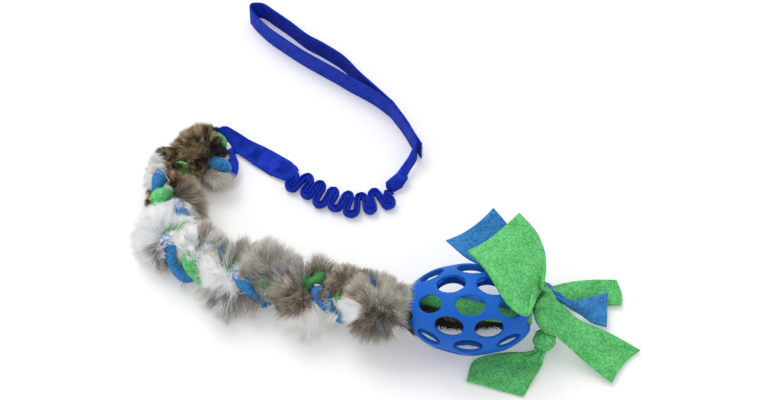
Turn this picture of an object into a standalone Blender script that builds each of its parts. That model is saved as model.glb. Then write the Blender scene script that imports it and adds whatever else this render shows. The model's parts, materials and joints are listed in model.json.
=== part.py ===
"""Bungee tug toy for a dog: webbing handle, ruched bungee, fleece and fur braid, lattice ball, fleece tails.

Metres, +Z up. The toy lies on the plane z = 0, with the origin under the middle of its box.
"""
import math

import bmesh
import bpy
from mathutils import Matrix, Vector

for old in list(bpy.data.objects):
    bpy.data.objects.remove(old, do_unlink=True)

GAP = 0.0003

# webbing
WEB_WIDTH = 0.025
WEB_THICK = 0.0018
HANDLE_SEAM_STITCH = 0.0045
THREAD = 0.0008
FLEX_GAP = 0.0008

# bungee
SLEEVE_DIAMETER = 0.0062
SLEEVE_WALL = 0.0009
SLEEVE_FOLDS = 7
SLEEVE_FULLNESS = 1.4
SLEEVE_SHIFT = 0.002
SLEEVE_LEAD = 0.0045
FOLD_STEPS = 16
CORE_CLEARANCE = 0.0006

# braid
STRAND_PINCHED = 0.0110
STRAND_FULL = 0.0166
EYE_STRAND_DIAMETER = 0.0135
NECK_STRAND_DIAMETER = 0.0132
BRAID_PERIOD = 0.0781
BRAID_HALF_WIDTH = 0.015
BRAID_HALF_HEIGHT = 0.0135
BRAID_HEIGHT = 0.0232
ROW_PITCH = 0.0155
NECK_PITCH_RADIUS = 0.0080
FUR_SKIN_SHARE = 0.78
FUR_LOBE = 0.0085
INNER_LOBE_SHARE = 0.5
LOBE_SHARPNESS = 8
LOBE_FADE = 0.012
BEND_LENGTH = 0.040
BEND_AT = 0.172
BRAID_STEP = 0.0062
CUT_LEAD = 0.0032
CUT_GAP = 0.0008
NECK_TAPER = 0.018
NECK_STRAIGHT = 0.007

# ball
BALL_LENGTH = 0.127
BALL_DIAMETER = 0.088
BALL_WALL = 0.0045
BALL_MOUTH_RADIUS = 0.0175
HOLES_ROUND = 6
END_RING_INSET = 0.00575
HOLE_RING_PITCH = (BALL_LENGTH / 2 - END_RING_INSET) / 3
HOLE_LENGTH = 0.028
HOLE_WIDTH = 0.0195
OUTER_HOLE_LENGTH = 0.025
OUTER_HOLE_WIDTH = 0.017
SCALLOP_LENGTH = 0.011
SCALLOP_WIDTH = 0.010
BALL_PLACE = Vector((0.0835, -0.1578, BALL_DIAMETER / 2))
BALL_YAW = math.radians(-3.5)
HOLE_TURN = math.radians(27)
NECK_RUN = 0.009

# fleece tails
FLEECE_THICK = 0.003
NECK_LEAD = 0.007
KNOT_SIZES = {
    "upper_knot": Vector((0.0112, 0.0195, 0.0115)),
    "lower_knot": Vector((0.0108, 0.0104, 0.0104)),
    "blue_knot": Vector((0.0100, 0.0100, 0.0100)),
}
KNOT_TILT = {"upper_knot": math.radians(35), "lower_knot": 0.0, "blue_knot": 0.0}
KNOT_WRAP = 0.03
KNOT_STAND_OFF = 0.0010

parts = bpy.data.collections.new("bungee_tug_toy")
cutters = bpy.data.collections.new("cutters")
for collection in (parts, cutters):
    bpy.context.scene.collection.children.link(collection)
toy = bpy.data.objects.new("toy", None)
parts.objects.link(toy)


def material(name, colour, roughness, metallic=0.0):
    made = bpy.data.materials.new(name)
    made.use_nodes = True
    shader = made.node_tree.nodes["Principled BSDF"]
    shader.inputs["Base Color"].default_value = (*colour, 1.0)
    shader.inputs["Roughness"].default_value = roughness
    shader.inputs["Metallic"].default_value = metallic
    return made


WEBBING = material("royal_blue_webbing", (0.012, 0.035, 0.45), 0.8)
THREAD_BLUE = material("blue_thread", (0.01, 0.02, 0.30), 0.6)
ELASTIC = material("black_elastic", (0.02, 0.02, 0.02), 0.9)
BLUE_FLEECE = material("blue_fleece", (0.03, 0.20, 0.62), 0.95)
GREEN_FLEECE = material("green_fleece", (0.09, 0.55, 0.10), 0.95)
FUR = material("rabbit_fur", (0.42, 0.36, 0.29), 0.95)
RUBBER = material("blue_rubber", (0.012, 0.09, 0.62), 0.45)


def add(name, mesh, mat, smooth=True):
    """A new part on the toy, with its mesh and material."""
    obj = bpy.data.objects.new(name, mesh)
    mesh.materials.append(mat)
    parts.objects.link(obj)
    obj.parent = toy
    if smooth:
        mesh.shade_smooth()
        mesh.set_sharp_from_angle(angle=math.radians(40))
    return obj


def smoothstep(value):
    value = min(max(value, 0.0), 1.0)
    return value * value * (3 - 2 * value)


def catmull_rom(points, dense=24):
    """A smooth curve through the points, as many short steps."""
    ends = [points[0] * 2 - points[1], *points, points[-1] * 2 - points[-2]]
    curve = []
    for a, b, c, d in zip(ends, ends[1:], ends[2:], ends[3:]):
        for step in range(dense):
            t = step / dense
            curve.append(
                0.5 * (2 * b + (c - a) * t + (2 * a - 5 * b + 4 * c - d) * t**2
                       + (3 * b - a - 3 * c + d) * t**3)
            )
    return curve + [points[-1]]


class Route:
    """A smooth curve read by its arc length."""

    def __init__(self, points):
        self.curve = catmull_rom([Vector(p) for p in points])
        self.marks = [0.0]
        for a, b in zip(self.curve, self.curve[1:]):
            self.marks.append(self.marks[-1] + (b - a).length)
        self.length = self.marks[-1]

    def at(self, s):
        s = min(max(s, 0.0), self.length)
        low = 0
        high = len(self.marks) - 2
        while low < high:
            middle = (low + high + 1) // 2
            if self.marks[middle] <= s:
                low = middle
            else:
                high = middle - 1
        share = (s - self.marks[low]) / (self.marks[low + 1] - self.marks[low])
        return self.curve[low].lerp(self.curve[low + 1], share)

    def tangent(self, s, reach=0.001):
        return (self.at(s + reach) - self.at(s - reach)).normalized()

    def side(self, s):
        """The level direction to the left of the way along the route."""
        along = self.tangent(s)
        return Vector((-along.y, along.x, 0)).normalized()

    def up(self, s):
        return self.tangent(s).cross(self.side(s))

    def nearest(self, place):
        near = min(range(len(self.curve)), key=lambda i: (self.curve[i] - place).length)
        return self.marks[near]

    def even(self, count):
        return [self.at(self.length * i / count) for i in range(count + 1)]


def curve_object(name, points, radius, scales=None, resolution=2, caps=True):
    data = bpy.data.curves.new(name, "CURVE")
    data.dimensions = "3D"
    data.bevel_depth = radius
    data.bevel_resolution = resolution
    data.use_fill_caps = caps
    spline = data.splines.new("POLY")
    spline.points.add(len(points) - 1)
    for i, point in enumerate(points):
        spline.points[i].co = (*point, 1.0)
        spline.points[i].radius = scales[i] if scales else 1.0
    return bpy.data.objects.new(name, data)


def tube(name, points, radius, mat, scales=None, resolution=2):
    obj = curve_object(name, points, radius, scales, resolution)
    obj.data.materials.append(mat)
    parts.objects.link(obj)
    obj.parent = toy
    return obj


HOSE_SIDES = 6


def hose(name, points, radius, wall, mat):
    """A tube with a bore right through it."""
    guide = curve_object(name + "_guide", points, radius, resolution=HOSE_SIDES // 2 - 2, caps=False)
    parts.objects.link(guide)
    bpy.context.view_layer.update()
    evaluated = guide.evaluated_get(bpy.context.evaluated_depsgraph_get())
    mesh = bpy.data.meshes.new_from_object(evaluated)
    bpy.data.objects.remove(guide, do_unlink=True)
    obj = add(name, mesh, mat)
    solid = obj.modifiers.new("wall", "SOLIDIFY")
    solid.thickness = wall
    solid.offset = -1
    return obj


def ribbon(name, centres, halves, thickness, mat, across=1, bow=None):
    """A strip through the centres, each crossed by a half width vector, with an even thickness.

    bow gives, for each centre, a vector by which the strip's middle stands off the line between its edges.
    """
    shape = bmesh.new()
    rows = []
    for i, (centre, half) in enumerate(zip(centres, halves)):
        row = []
        for step in range(across + 1):
            share = 2 * step / across - 1
            place = centre + half * share
            if bow:
                place = place + bow[i] * (1 - share * share)
            row.append(shape.verts.new(place))
        rows.append(row)
    for low, high in zip(rows, rows[1:]):
        for i in range(across):
            shape.faces.new((low[i], low[i + 1], high[i + 1], high[i]))
    mesh = bpy.data.meshes.new(name)
    shape.to_mesh(mesh)
    shape.free()
    obj = add(name, mesh, mat)
    solid = obj.modifiers.new("cloth", "SOLIDIFY")
    solid.thickness = thickness
    solid.offset = 0
    return obj


def zigzag(name, start, end, half, stitches, mat):
    """A row of thread that crosses between two lines, as one body."""
    points = []
    for i in range(stitches + 1):
        side = 1 if i % 2 else -1
        points.append(start.lerp(end, i / stitches) + half * side)
    return tube(name, points, THREAD / 2, mat, resolution=1)


ON_EDGE = Vector((0, 0, WEB_WIDTH / 2))
LAYER_STEP = WEB_THICK + GAP


def handle():
    """The hand loop, on edge: out along the far side, round the end and back, with its base doubled.

    Gives the place and way at which the sleeve meets it, and the raw end that it turns about.
    """
    seam = Route([(0.0393, 0.0504, 0), (0.0312, 0.0658, 0), (0.0233, 0.0823, 0), (0.0102, 0.104, 0)])
    count = 8
    outer = []
    inner = []
    for i in range(count + 1):
        s = seam.length * i / count
        out = seam.side(s) * -LAYER_STEP / 2
        outer.append(seam.at(s) + out)
        inner.append(seam.at(s) - out)
    loop = Route([
        outer[-1], (-0.0076, 0.1252, 0), (-0.0226, 0.1422, 0), (-0.0341, 0.1577, 0),
        (-0.0434, 0.1679, 0), (-0.0612, 0.1814, 0), (-0.078, 0.1922, 0), (-0.095, 0.2081, 0),
        (-0.1153, 0.2262, 0), (-0.1238, 0.2334, 0), (-0.1344, 0.2345, 0), (-0.1385, 0.2305, 0),
        (-0.134, 0.2205, 0), (-0.1195, 0.2032, 0), (-0.1012, 0.1874, 0), (-0.0807, 0.1706, 0),
        (-0.0609, 0.1561, 0), (-0.0432, 0.1437, 0), (-0.0339, 0.1369, 0), (-0.0076, 0.1195, 0),
        inner[-1],
    ])
    plan = outer + loop.even(64)[1:-1] + inner[:0:-1]
    lift = Vector((0, 0, WEB_WIDTH / 2))
    ribbon("handle_webbing", [p + lift for p in plan], [ON_EDGE] * len(plan), WEB_THICK, WEBBING)
    face = (outer[0] - inner[0]).normalized() * (LAYER_STEP / 2 + WEB_THICK / 2 + GAP + THREAD / 2)
    for name, low, high in (("handle_base_stitch", 0.15, 0.42), ("handle_neck_stitch", 0.62, 0.9)):
        start = seam.at(seam.length * low) + face + lift
        end = seam.at(seam.length * high) + face + lift
        zigzag(name, start, end, Vector((0, 0, WEB_WIDTH / 2 - HANDLE_SEAM_STITCH)), 10, THREAD_BLUE)
    return inner[1], (inner[1] - inner[2]).normalized(), outer[0]


def bungee(front, front_way, rear, rear_way):
    """The ruched sleeve, one unbroken hose that folds from side to side, and the elastic in its bore."""
    run = Route([
        front + front_way * SLEEVE_LEAD, (-0.080, 0.0188, front.z), (-0.062, 0.006, front.z),
        (-0.039, -0.0047, front.z), (-0.024, -0.007, front.z), (-0.005, -0.0025, front.z),
        (0.0035, 0.0026, front.z), rear - rear_way * SLEEVE_LEAD,
    ])
    steps = FOLD_STEPS * SLEEVE_FOLDS
    headings = []
    for i in range(steps):
        swing = SLEEVE_FULLNESS * math.sin(2 * math.pi * SLEEVE_FOLDS * (i + 0.5) / steps)
        headings.append(math.pi / 2 * min(max(swing, -1), 1))
    half_pass = FOLD_STEPS // 4 - 1
    del headings[half_pass:2 * half_pass]
    del headings[-2 * half_pass:-half_pass]
    step = run.length / sum(math.cos(h) for h in headings)
    along = 0.0
    across = 0.0
    places = [(0.0, 0.0)]
    for heading in headings:
        along += step * math.cos(heading)
        across -= step * math.sin(heading)
        places.append((along, across))
    middle = (max(a for _, a in places) + min(a for _, a in places)) / 2 + SLEEVE_SHIFT
    winding = [front]
    for i, (s, a) in enumerate(places):
        ease = smoothstep(min(i, len(headings) - i) / half_pass)
        winding.append(run.at(s) + run.side(s) * (a - middle) * ease)
    winding.append(rear)
    radius = SLEEVE_DIAMETER / 2
    hose("bungee_sleeve", winding, radius, SLEEVE_WALL, WEBBING)
    bore = (radius - SLEEVE_WALL) * math.cos(math.pi / HOSE_SIDES)
    tube("elastic_core", winding, bore - CORE_CLEARANCE, ELASTIC, resolution=0)
    apart = []
    for i, a in enumerate(winding):
        for b in winding[i + FOLD_STEPS // 4 + 2:]:
            apart.append((a - b).length - SLEEVE_DIAMETER)
    print(f"sleeve: {len(winding)} points, least gap to itself {min(apart) * 1000:.2f} mm")


def rear_flat(low, low_way, high):
    """The plain end of the sleeve: it lies open beside the last fold, then turns up on edge to the handle."""
    lift = Vector((0, 0, WEB_WIDTH / 2))
    low_side = Vector((-low_way.y, low_way.x, 0))
    centres = [
        low, low + low_way * 0.006 + Vector((0, 0, 0.0012)), low + Vector((0.009, 0.0095, 0.004)),
        Vector((0.0235, 0.0285, 0.0105)), Vector((0.0275, 0.0385, 0.0122)), high + lift,
    ]
    halves = [
        low_side * 0.0036, low_side * 0.0085 + Vector((0, 0, 0.0015)), Vector((-0.0085, 0.0020, 0.0060)),
        Vector((-0.0030, 0.0005, 0.0100)), Vector((-0.0005, 0, 0.0122)), ON_EDGE,
    ]
    line = Route(centres)
    spread = Route(halves)
    count = 14
    ribbon(
        "rear_webbing", line.even(count),
        [spread.at(spread.length * i / count) for i in range(count + 1)], WEB_THICK, WEBBING,
    )


TAB_WAY = Vector((-0.822, 0.570, 0)).normalized()
TAB_SIDE = Vector((0.570, 0.822, 0)).normalized()
TAB_END = Vector((-0.0921, 0.0305, 0))
TAB_FLAT = 0.050
UNDER_LAYER = 0.036
EYE_WEB_WIDTH = 0.011
EYE_GAP = 0.0009
BIGHT_X = -0.172
BIGHT_Y = 0.042
BIGHT_TOP = 0.028
BIGHT_LOW = 0.008
BIGHT_MIDDLE = (BIGHT_TOP + BIGHT_LOW) / 2
LOW_LEG = 0.018
EYE_X = BIGHT_X - 0.0032


def tab():
    """The flat tab on its two layers, and the eye that the braid is folded over, which is the same strip."""
    low = WEB_THICK / 2
    top = low + LAYER_STEP
    half = TAB_SIDE * WEB_WIDTH / 2
    flat_end = TAB_END + TAB_WAY * TAB_FLAT
    upper = [TAB_END + TAB_WAY * (TAB_FLAT * i / 5) + Vector((0, 0, top)) for i in range(6)]
    under = [flat_end - TAB_WAY * (UNDER_LAYER * i / 3) + Vector((0, 0, low)) for i in range(4)]
    ribbon("tab_top_webbing", upper, [half] * 6, WEB_THICK, WEBBING)
    ribbon("tab_under_webbing", under, [half] * 4, WEB_THICK, WEBBING)
    away = flat_end + TAB_WAY * EYE_GAP
    reach = ROW_PITCH + EYE_STRAND_DIAMETER / 2
    narrow = EYE_WEB_WIDTH / 2
    centres = [
        away + Vector((0, 0, top)),
        away + TAB_WAY * 0.003 + Vector((0, 0, top)),
        away + TAB_WAY * 0.011 + Vector((0, 0, 0.0062)),
        Vector((-0.1560, BIGHT_Y + reach + 0.0110, 0.0125)),
        Vector((-0.1670, BIGHT_Y + reach + 0.0065, BIGHT_MIDDLE)),
        Vector((EYE_X, BIGHT_Y + ROW_PITCH, BIGHT_MIDDLE)),
        Vector((EYE_X, BIGHT_Y, BIGHT_MIDDLE)),
        Vector((EYE_X, BIGHT_Y - ROW_PITCH, BIGHT_MIDDLE)),
        Vector((-0.1675, BIGHT_Y - reach - 0.0097, 0.0145)),
        Vector((-0.1495, BIGHT_Y - 0.0170, 0.0125)),
        Vector((-0.1470, BIGHT_Y - 0.0015, 0.0112)),
        Vector((-0.1450, BIGHT_Y + 0.0125, 0.0078)),
        away + TAB_WAY * 0.006 + Vector((0, 0, 0.0012)),
        away + Vector((0, 0, low)),
    ]
    halves = [
        half,
        half * 0.9,
        half * 0.98 + Vector((0, 0, 0.002)),
        Vector((0.0020, 0.0085, 0.0055)),
        Vector((0.0055, 0.0050, 0.0040)),
        Vector((narrow, 0, 0)),
        Vector((narrow, 0, 0)),
        Vector((narrow, 0, 0)),
        Vector((0.0030, -0.0045, -0.0050)),
        Vector((0.0020, -0.0020, -0.0085)),
        Vector((0.0012, 0.0015, -0.0085)),
        Vector((0.0050, 0.0060, -0.0045)),
        half * 0.96,
        half,
    ]
    line = Route(centres)
    count = 44
    spans = [line.nearest(c) for c in centres]
    spread = []
    for i in range(count + 1):
        s = line.length * i / count
        place = max(k for k in range(len(spans)) if spans[k] <= s + 1e-9)
        after = min(place + 1, len(spans) - 1)
        share = (s - spans[place]) / max(spans[after] - spans[place], 1e-6)
        spread.append(halves[place].lerp(halves[after], smoothstep(share)))
    ribbon("eye_webbing", line.even(count), spread, WEB_THICK, WEBBING)
    over = Vector((0, 0, top + WEB_THICK / 2 + GAP + THREAD / 2))
    row = TAB_SIDE * (WEB_WIDTH / 2 - HANDLE_SEAM_STITCH)
    for name, near, far in (("tab_front_stitch", 0.003, 0.015), ("tab_eye_stitch", 0.037, 0.047)):
        zigzag(name, TAB_END + TAB_WAY * near + over, TAB_END + TAB_WAY * far + over, row, 8, THREAD_BLUE)
    return TAB_END - TAB_WAY * GAP


BALL_AXIS = Vector((math.cos(BALL_YAW), math.sin(BALL_YAW), 0))
MOUTH_AT = BALL_LENGTH / 2 * math.sqrt(1 - (2 * BALL_MOUTH_RADIUS / BALL_DIAMETER) ** 2)
BALL_LEFT = BALL_PLACE - BALL_AXIS * MOUTH_AT
BALL_RIGHT = BALL_PLACE + BALL_AXIS * MOUTH_AT
BRAID_END = BALL_LEFT - BALL_AXIS * NECK_RUN

BRAID_ROUTE = Route([
    (BIGHT_X, BIGHT_Y, BIGHT_TOP), (-0.1800, BIGHT_Y, BIGHT_TOP), (-0.1920, 0.0382, 0.0260),
    (-0.2022, 0.0280, 0.0228), (-0.2065, 0.0120, 0.0203), (-0.2080, -0.0060, BRAID_HEIGHT),
    (-0.2085, -0.0300, BRAID_HEIGHT), (-0.2060, -0.0560, BRAID_HEIGHT), (-0.1940, -0.0790, BRAID_HEIGHT),
    (-0.1720, -0.0940, BRAID_HEIGHT), (-0.1400, -0.1050, BRAID_HEIGHT), (-0.1000, -0.1180, BRAID_HEIGHT),
    (-0.0617, -0.1270, BRAID_HEIGHT), (-0.0370, -0.1325, 0.0245), (-0.0140, -0.1385, 0.0315),
    BRAID_END - BALL_AXIS * 0.0130 - Vector((0, 0, 0.0035)), BRAID_END - BALL_AXIS * 0.0050, BRAID_END,
])
BLUE_UP_PLACE = Vector((-0.0930, -0.1200, BRAID_HEIGHT))
TURN_STEP = 2 * math.pi / 3
ROW_END = 0.040
FIRST_CROSSING = 0.028
FIRST_SQUEEZE = 0.22
ORDER = {"blue": 0, "green": 1, "fur": 2}
ROW = {"blue": 1, "fur": 0, "green": -1}


def braid_phase(s, number):
    """The place of a strand in the plait, as an angle that runs along the braid between its two ends."""
    first = math.radians(60 - 3 * 360)
    anchor = BRAID_ROUTE.nearest(BLUE_UP_PLACE)
    run = math.radians(45) + 2 * math.pi * (s - anchor) / BRAID_PERIOD
    last = math.radians(150 + 360)
    return min(max(run, first), last) - number * TURN_STEP


def strand_at(colour, s):
    """Centre and radius of a strand, s along the braid."""
    phase = braid_phase(s, ORDER[colour])
    side = BRAID_HALF_WIDTH * math.sin(phase)
    rise = BRAID_HALF_HEIGHT * (math.sin(2 * phase) + 0.15 * math.sin(4 * phase))
    full = STRAND_PINCHED + (STRAND_FULL - STRAND_PINCHED) * math.sin(2 * phase) ** 2
    if colour == "fur":
        full = full * FUR_SKIN_SHARE
    start = smoothstep(s / ROW_END)
    side = side * start + ROW[colour] * ROW_PITCH * (1 - start)
    rise = rise * start
    neck_from = NECK_START
    close = smoothstep((s - neck_from) / (BRAID_ROUTE.length - neck_from - NECK_STRAIGHT))
    turn = braid_phase(BRAID_ROUTE.length, ORDER[colour])
    neck_side = NECK_PITCH_RADIUS * math.sin(turn)
    neck_rise = NECK_PITCH_RADIUS * NECK_RISE[colour]
    side = side * (1 - close) + neck_side * close
    rise = rise * (1 - close) + neck_rise * close
    squeezed = 1 - FIRST_SQUEEZE * smoothstep(1 - abs(s - FIRST_CROSSING) / ROW_END)
    width = (EYE_STRAND_DIAMETER * (1 - start) + full * start) * squeezed
    close = smoothstep((s - neck_from + NECK_TAPER) / NECK_TAPER)
    radius = (width * (1 - close) + NECK_STRAND_DIAMETER * close) / 2
    centre = BRAID_ROUTE.at(s) + BRAID_ROUTE.side(s) * side + BRAID_ROUTE.up(s) * rise
    return centre, radius


NECK_START = BRAID_ROUTE.length - 0.030
NECK_RISE = {"blue": -math.cos(math.radians(30)), "green": math.cos(math.radians(30)), "fur": 0.0}


def fur_lobe(s):
    """How far the fur stands out where its strand turns at the edge of the plait, and to which side."""
    phase = braid_phase(s, ORDER["fur"])
    turn = math.sin(phase)
    fade = smoothstep((s - ROW_END * 0.6) / 0.015) * smoothstep((NECK_START - NECK_TAPER / 2 - s) / LOBE_FADE)
    for cut in (BEND_AT - BEND_LENGTH / 2, BEND_AT + BEND_LENGTH / 2):
        fade *= smoothstep((abs(s - cut) - CUT_LEAD) / LOBE_FADE)
    size = FUR_LOBE if turn < 0 else FUR_LOBE * INNER_LOBE_SHARE
    return size * abs(turn) ** LOBE_SHARPNESS * fade, math.copysign(1, turn)


def strand_place(colour, s):
    """Centre and radius of a strand with its fur, no lower than the floor."""
    centre, radius = strand_at(colour, s)
    if colour == "fur":
        lobe, way = fur_lobe(s)
        centre = centre + BRAID_ROUTE.side(s) * lobe * way
        radius = radius + lobe
    centre.z = max(centre.z, radius)
    return centre, radius


def strand_run(colour, start, end):
    """Points and radii of a strand between two places along the braid, both ends cut square to the strand."""
    count = max(4, round((end - start) / BRAID_STEP))
    points = []
    radii = []
    for i in range(count + 1):
        centre, radius = strand_place(colour, start + (end - start) * i / count)
        points.append(centre)
        radii.append(radius)
    for place, s, inward in ((0, start, 1), (-1, end, -1)):
        if s >= BRAID_ROUTE.length:
            way = BALL_AXIS
        else:
            way = (strand_place(colour, s + 0.001)[0] - strand_place(colour, s - 0.001)[0]).normalized()
        cut = points[place]
        points[place] = cut + way * inward * CUT_GAP / 2
        points.insert(1 if inward > 0 else -1, cut + way * inward * CUT_LEAD)
        radii.insert(1 if inward > 0 else -1, radii[place])
    return points, radii


def strand_tube(name, points, radii, mat):
    widest = max(radii)
    return tube(name, points, widest, mat, [r / widest for r in radii])


def bight(colour):
    """The fold of a strand over the eye, from the end of its lower leg up to the start of the braid."""
    start, radius = strand_at(colour, 0.0)
    bend = (BIGHT_TOP - BIGHT_LOW) / 2
    points = [Vector((BIGHT_X - LOW_LEG * (1 - i / 3), start.y, BIGHT_LOW)) for i in range(3)]
    for i in range(9):
        turn = math.pi * i / 8
        points.append(
            Vector((BIGHT_X + bend * math.sin(turn), start.y, BIGHT_MIDDLE - bend * math.cos(turn)))
        )
    return points, [radius] * len(points)


FLEECES = {"blue": BLUE_FLEECE, "green": GREEN_FLEECE, "fur": FUR}


def braid():
    """Three strands plaited from the eye to the ball, each in a front, a bending and a rear length."""
    bend_from = BEND_AT - BEND_LENGTH / 2
    bend_to = BEND_AT + BEND_LENGTH / 2
    for colour, mat in FLEECES.items():
        fold, fold_radii = bight(colour)
        points, radii = strand_run(colour, 0.0, bend_from)
        strand_tube(f"{colour}_strand_front", fold + points[2:], fold_radii + radii[2:], mat)
        points, radii = strand_run(colour, bend_from, bend_to)
        strand_tube(f"{colour}_strand_bend", points, radii, mat)
        points, radii = strand_run(colour, bend_to, BRAID_ROUTE.length)
        strand_tube(f"{colour}_strand_rear", points, radii, mat)


def ball_strands():
    """The three strands on their way through the ball, from the end of the braid to the knots."""
    start_gap = CUT_GAP / 2
    length = NECK_RUN + 2 * MOUTH_AT + KNOT_STAND_OFF - GAP
    side = Vector((-BALL_AXIS.y, BALL_AXIS.x, 0))
    count = 16
    for colour, mat in FLEECES.items():
        turn = braid_phase(BRAID_ROUTE.length, ORDER[colour])
        begin = math.atan2(NECK_RISE[colour], math.sin(turn))
        points = []
        for i in range(count + 1):
            s = start_gap + (length - start_gap) * i / count
            angle = begin + math.radians(100) * smoothstep((s - 0.012) / (length - 0.024))
            spread = NECK_PITCH_RADIUS
            points.append(
                BRAID_END + BALL_AXIS * s + side * spread * math.cos(angle)
                + Vector((0, 0, spread * math.sin(angle)))
            )
        strand_tube(f"{colour}_strand_in_ball", points, [NECK_STRAND_DIAMETER / 2] * len(points), mat)


def ball():
    """The lattice ball, a turned shell with rings of oval holes and a scalloped mouth at each end."""
    profile = bmesh.new()
    steps = 14
    half_length = BALL_LENGTH / 2
    radius = BALL_DIAMETER / 2
    reach = math.acos(BALL_MOUTH_RADIUS / radius)
    outside = []
    inside = []
    for i in range(steps + 1):
        angle = reach * (2 * i / steps - 1)
        x = half_length * math.sin(angle)
        r = radius * math.cos(angle)
        normal = Vector((math.sin(angle) / half_length, math.cos(angle) / radius)).normalized()
        outside.append((x, r))
        inside.append((x - BALL_WALL * normal.x, r - BALL_WALL * normal.y))
    ring = [profile.verts.new((x, r, 0)) for x, r in outside + inside[::-1]]
    for a, b in zip(ring, ring[1:] + ring[:1]):
        profile.edges.new((a, b))
    mesh = bpy.data.meshes.new("ball")
    profile.to_mesh(mesh)
    profile.free()
    obj = add("ball", mesh, RUBBER)
    obj.location = BALL_PLACE
    obj.rotation_euler = (0, 0, BALL_YAW)
    turned = obj.modifiers.new("turn", "SCREW")
    turned.axis = "X"
    turned.steps = 30
    turned.render_steps = 30
    turned.use_normal_flip = True
    turned.use_merge_vertices = True
    turned.merge_threshold = 0.00001
    cut = obj.modifiers.new("holes", "BOOLEAN")
    cut.object = hole_cutter(half_length, radius)
    cut.operation = "DIFFERENCE"
    cut.solver = "EXACT"


def hole_cutter(half_length, radius):
    """Oval pegs in rings, every other ring turned by half a step."""
    shape = bmesh.new()
    rings = [
        (0, HOLE_LENGTH, HOLE_WIDTH), (1, HOLE_LENGTH, HOLE_WIDTH),
        (2, OUTER_HOLE_LENGTH, OUTER_HOLE_WIDTH), (3, SCALLOP_LENGTH, SCALLOP_WIDTH),
    ]
    for number, length, width in rings:
        for end in ((1, -1) if number else (1,)):
            x = end * number * HOLE_RING_PITCH
            r = radius * math.sqrt(1 - (x / half_length) ** 2)
            normal = Vector((x / half_length**2, r / radius**2)).normalized()
            for i in range(HOLES_ROUND):
                turn = HOLE_TURN + 2 * math.pi * (i + 0.5 * (number % 2)) / HOLES_ROUND
                spin = Matrix.Rotation(turn, 4, "X")
                tilt = Matrix.Rotation(math.atan2(normal.x, normal.y), 4, "Y")
                place = Matrix.Translation((x, 0, r))
                oval = Matrix.Diagonal((length / 2, width / 2, 1, 1))
                bmesh.ops.create_cone(
                    shape, cap_ends=True, segments=12, radius1=1, radius2=1, depth=4 * BALL_WALL,
                    matrix=spin @ place @ tilt @ oval,
                )
    mesh = bpy.data.meshes.new("hole_cutter")
    shape.to_mesh(mesh)
    shape.free()
    cutter = bpy.data.objects.new("hole_cutter", mesh)
    cutter.location = BALL_PLACE
    cutter.rotation_euler = (0, 0, BALL_YAW)
    cutter.hide_render = True
    cutter.display_type = "WIRE"
    cutter.parent = toy
    cutters.objects.link(cutter)
    return cutter


def by_ball(x, y, height):
    """A place east and north of the ball's right mouth, with its height as a share of the ball's."""
    return Vector((BALL_RIGHT.x + x, BALL_RIGHT.y + y, height * BALL_DIAMETER))


def wrap(unit):
    """How far three soft wraps of cloth raise a knot, in a direction from its middle."""
    return 1 + KNOT_WRAP * math.sin(3 * math.atan2(unit.y, unit.x) + 4 * unit.z)


def knot_reach(name, way):
    """The distance from a knot's middle to its surface."""
    local = Matrix.Rotation(-KNOT_TILT[name], 3, "X") @ way.normalized()
    size = KNOT_SIZES[name]
    unit = Vector((local.x / size.x, local.y / size.y, local.z / size.z)).normalized()
    return Vector((unit.x * size.x, unit.y * size.y, unit.z * size.z)).length * wrap(unit)


def beside(name, other, way):
    """The middle of a knot that lies against another one."""
    way = Vector(way).normalized()
    return KNOT_PLACES[other] + way * (knot_reach(other, way) + GAP + knot_reach(name, -way))


UPPER_REACH = KNOT_SIZES["upper_knot"].x * (1 + KNOT_WRAP)
KNOT_PLACES = {"upper_knot": by_ball(UPPER_REACH + KNOT_STAND_OFF, 0.0065, 0.48)}
KNOT_PLACES["lower_knot"] = beside("lower_knot", "upper_knot", (0.02, -0.76, -0.65))
KNOT_PLACES["blue_knot"] = beside("blue_knot", "upper_knot", (0.0, 0.93, -0.30))


def knot(name, mat):
    """A pulled tight knot: a ball of cloth with three soft wraps round it."""
    shape = bmesh.new()
    bmesh.ops.create_uvsphere(shape, u_segments=16, v_segments=10, radius=1)
    size = KNOT_SIZES[name]
    for vert in shape.verts:
        unit = vert.co.normalized()
        vert.co = Vector((unit.x * size.x, unit.y * size.y, unit.z * size.z)) * wrap(unit)
    mesh = bpy.data.meshes.new(name)
    shape.to_mesh(mesh)
    shape.free()
    obj = add(name, mesh, mat)
    obj.location = KNOT_PLACES[name]
    obj.rotation_euler = (KNOT_TILT[name], 0, 0)


def tail(name, knot_name, way, neck_half, left, right, mat, bow, seat=GAP):
    """A fleece strip between its two edges, from its neck at the knot to its cut end."""
    way = Vector(way).normalized()
    root = KNOT_PLACES[knot_name] + way * knot_reach(knot_name, way)
    neck = root + way * seat
    neck_half = Vector(neck_half)
    lead = neck + way * NECK_LEAD
    left = Route([neck - neck_half, lead - neck_half, *[by_ball(*p) for p in left]])
    right = Route([neck + neck_half, lead + neck_half, *[by_ball(*p) for p in right]])
    count = 12
    a = left.even(count)
    b = right.even(count)
    centres = [(p + q) / 2 for p, q in zip(a, b)]
    halves = [(q - p) / 2 for p, q in zip(a, b)]
    bows = [Vector(bow) * math.sin(math.pi * min(1, i / count * 1.2) ** 0.8) for i in range(count + 1)]
    ribbon(name, centres, halves, FLEECE_THICK, mat, across=4, bow=bows)
    TAIL_ROOTS[name] = root


TAIL_ROOTS = {}


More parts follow.
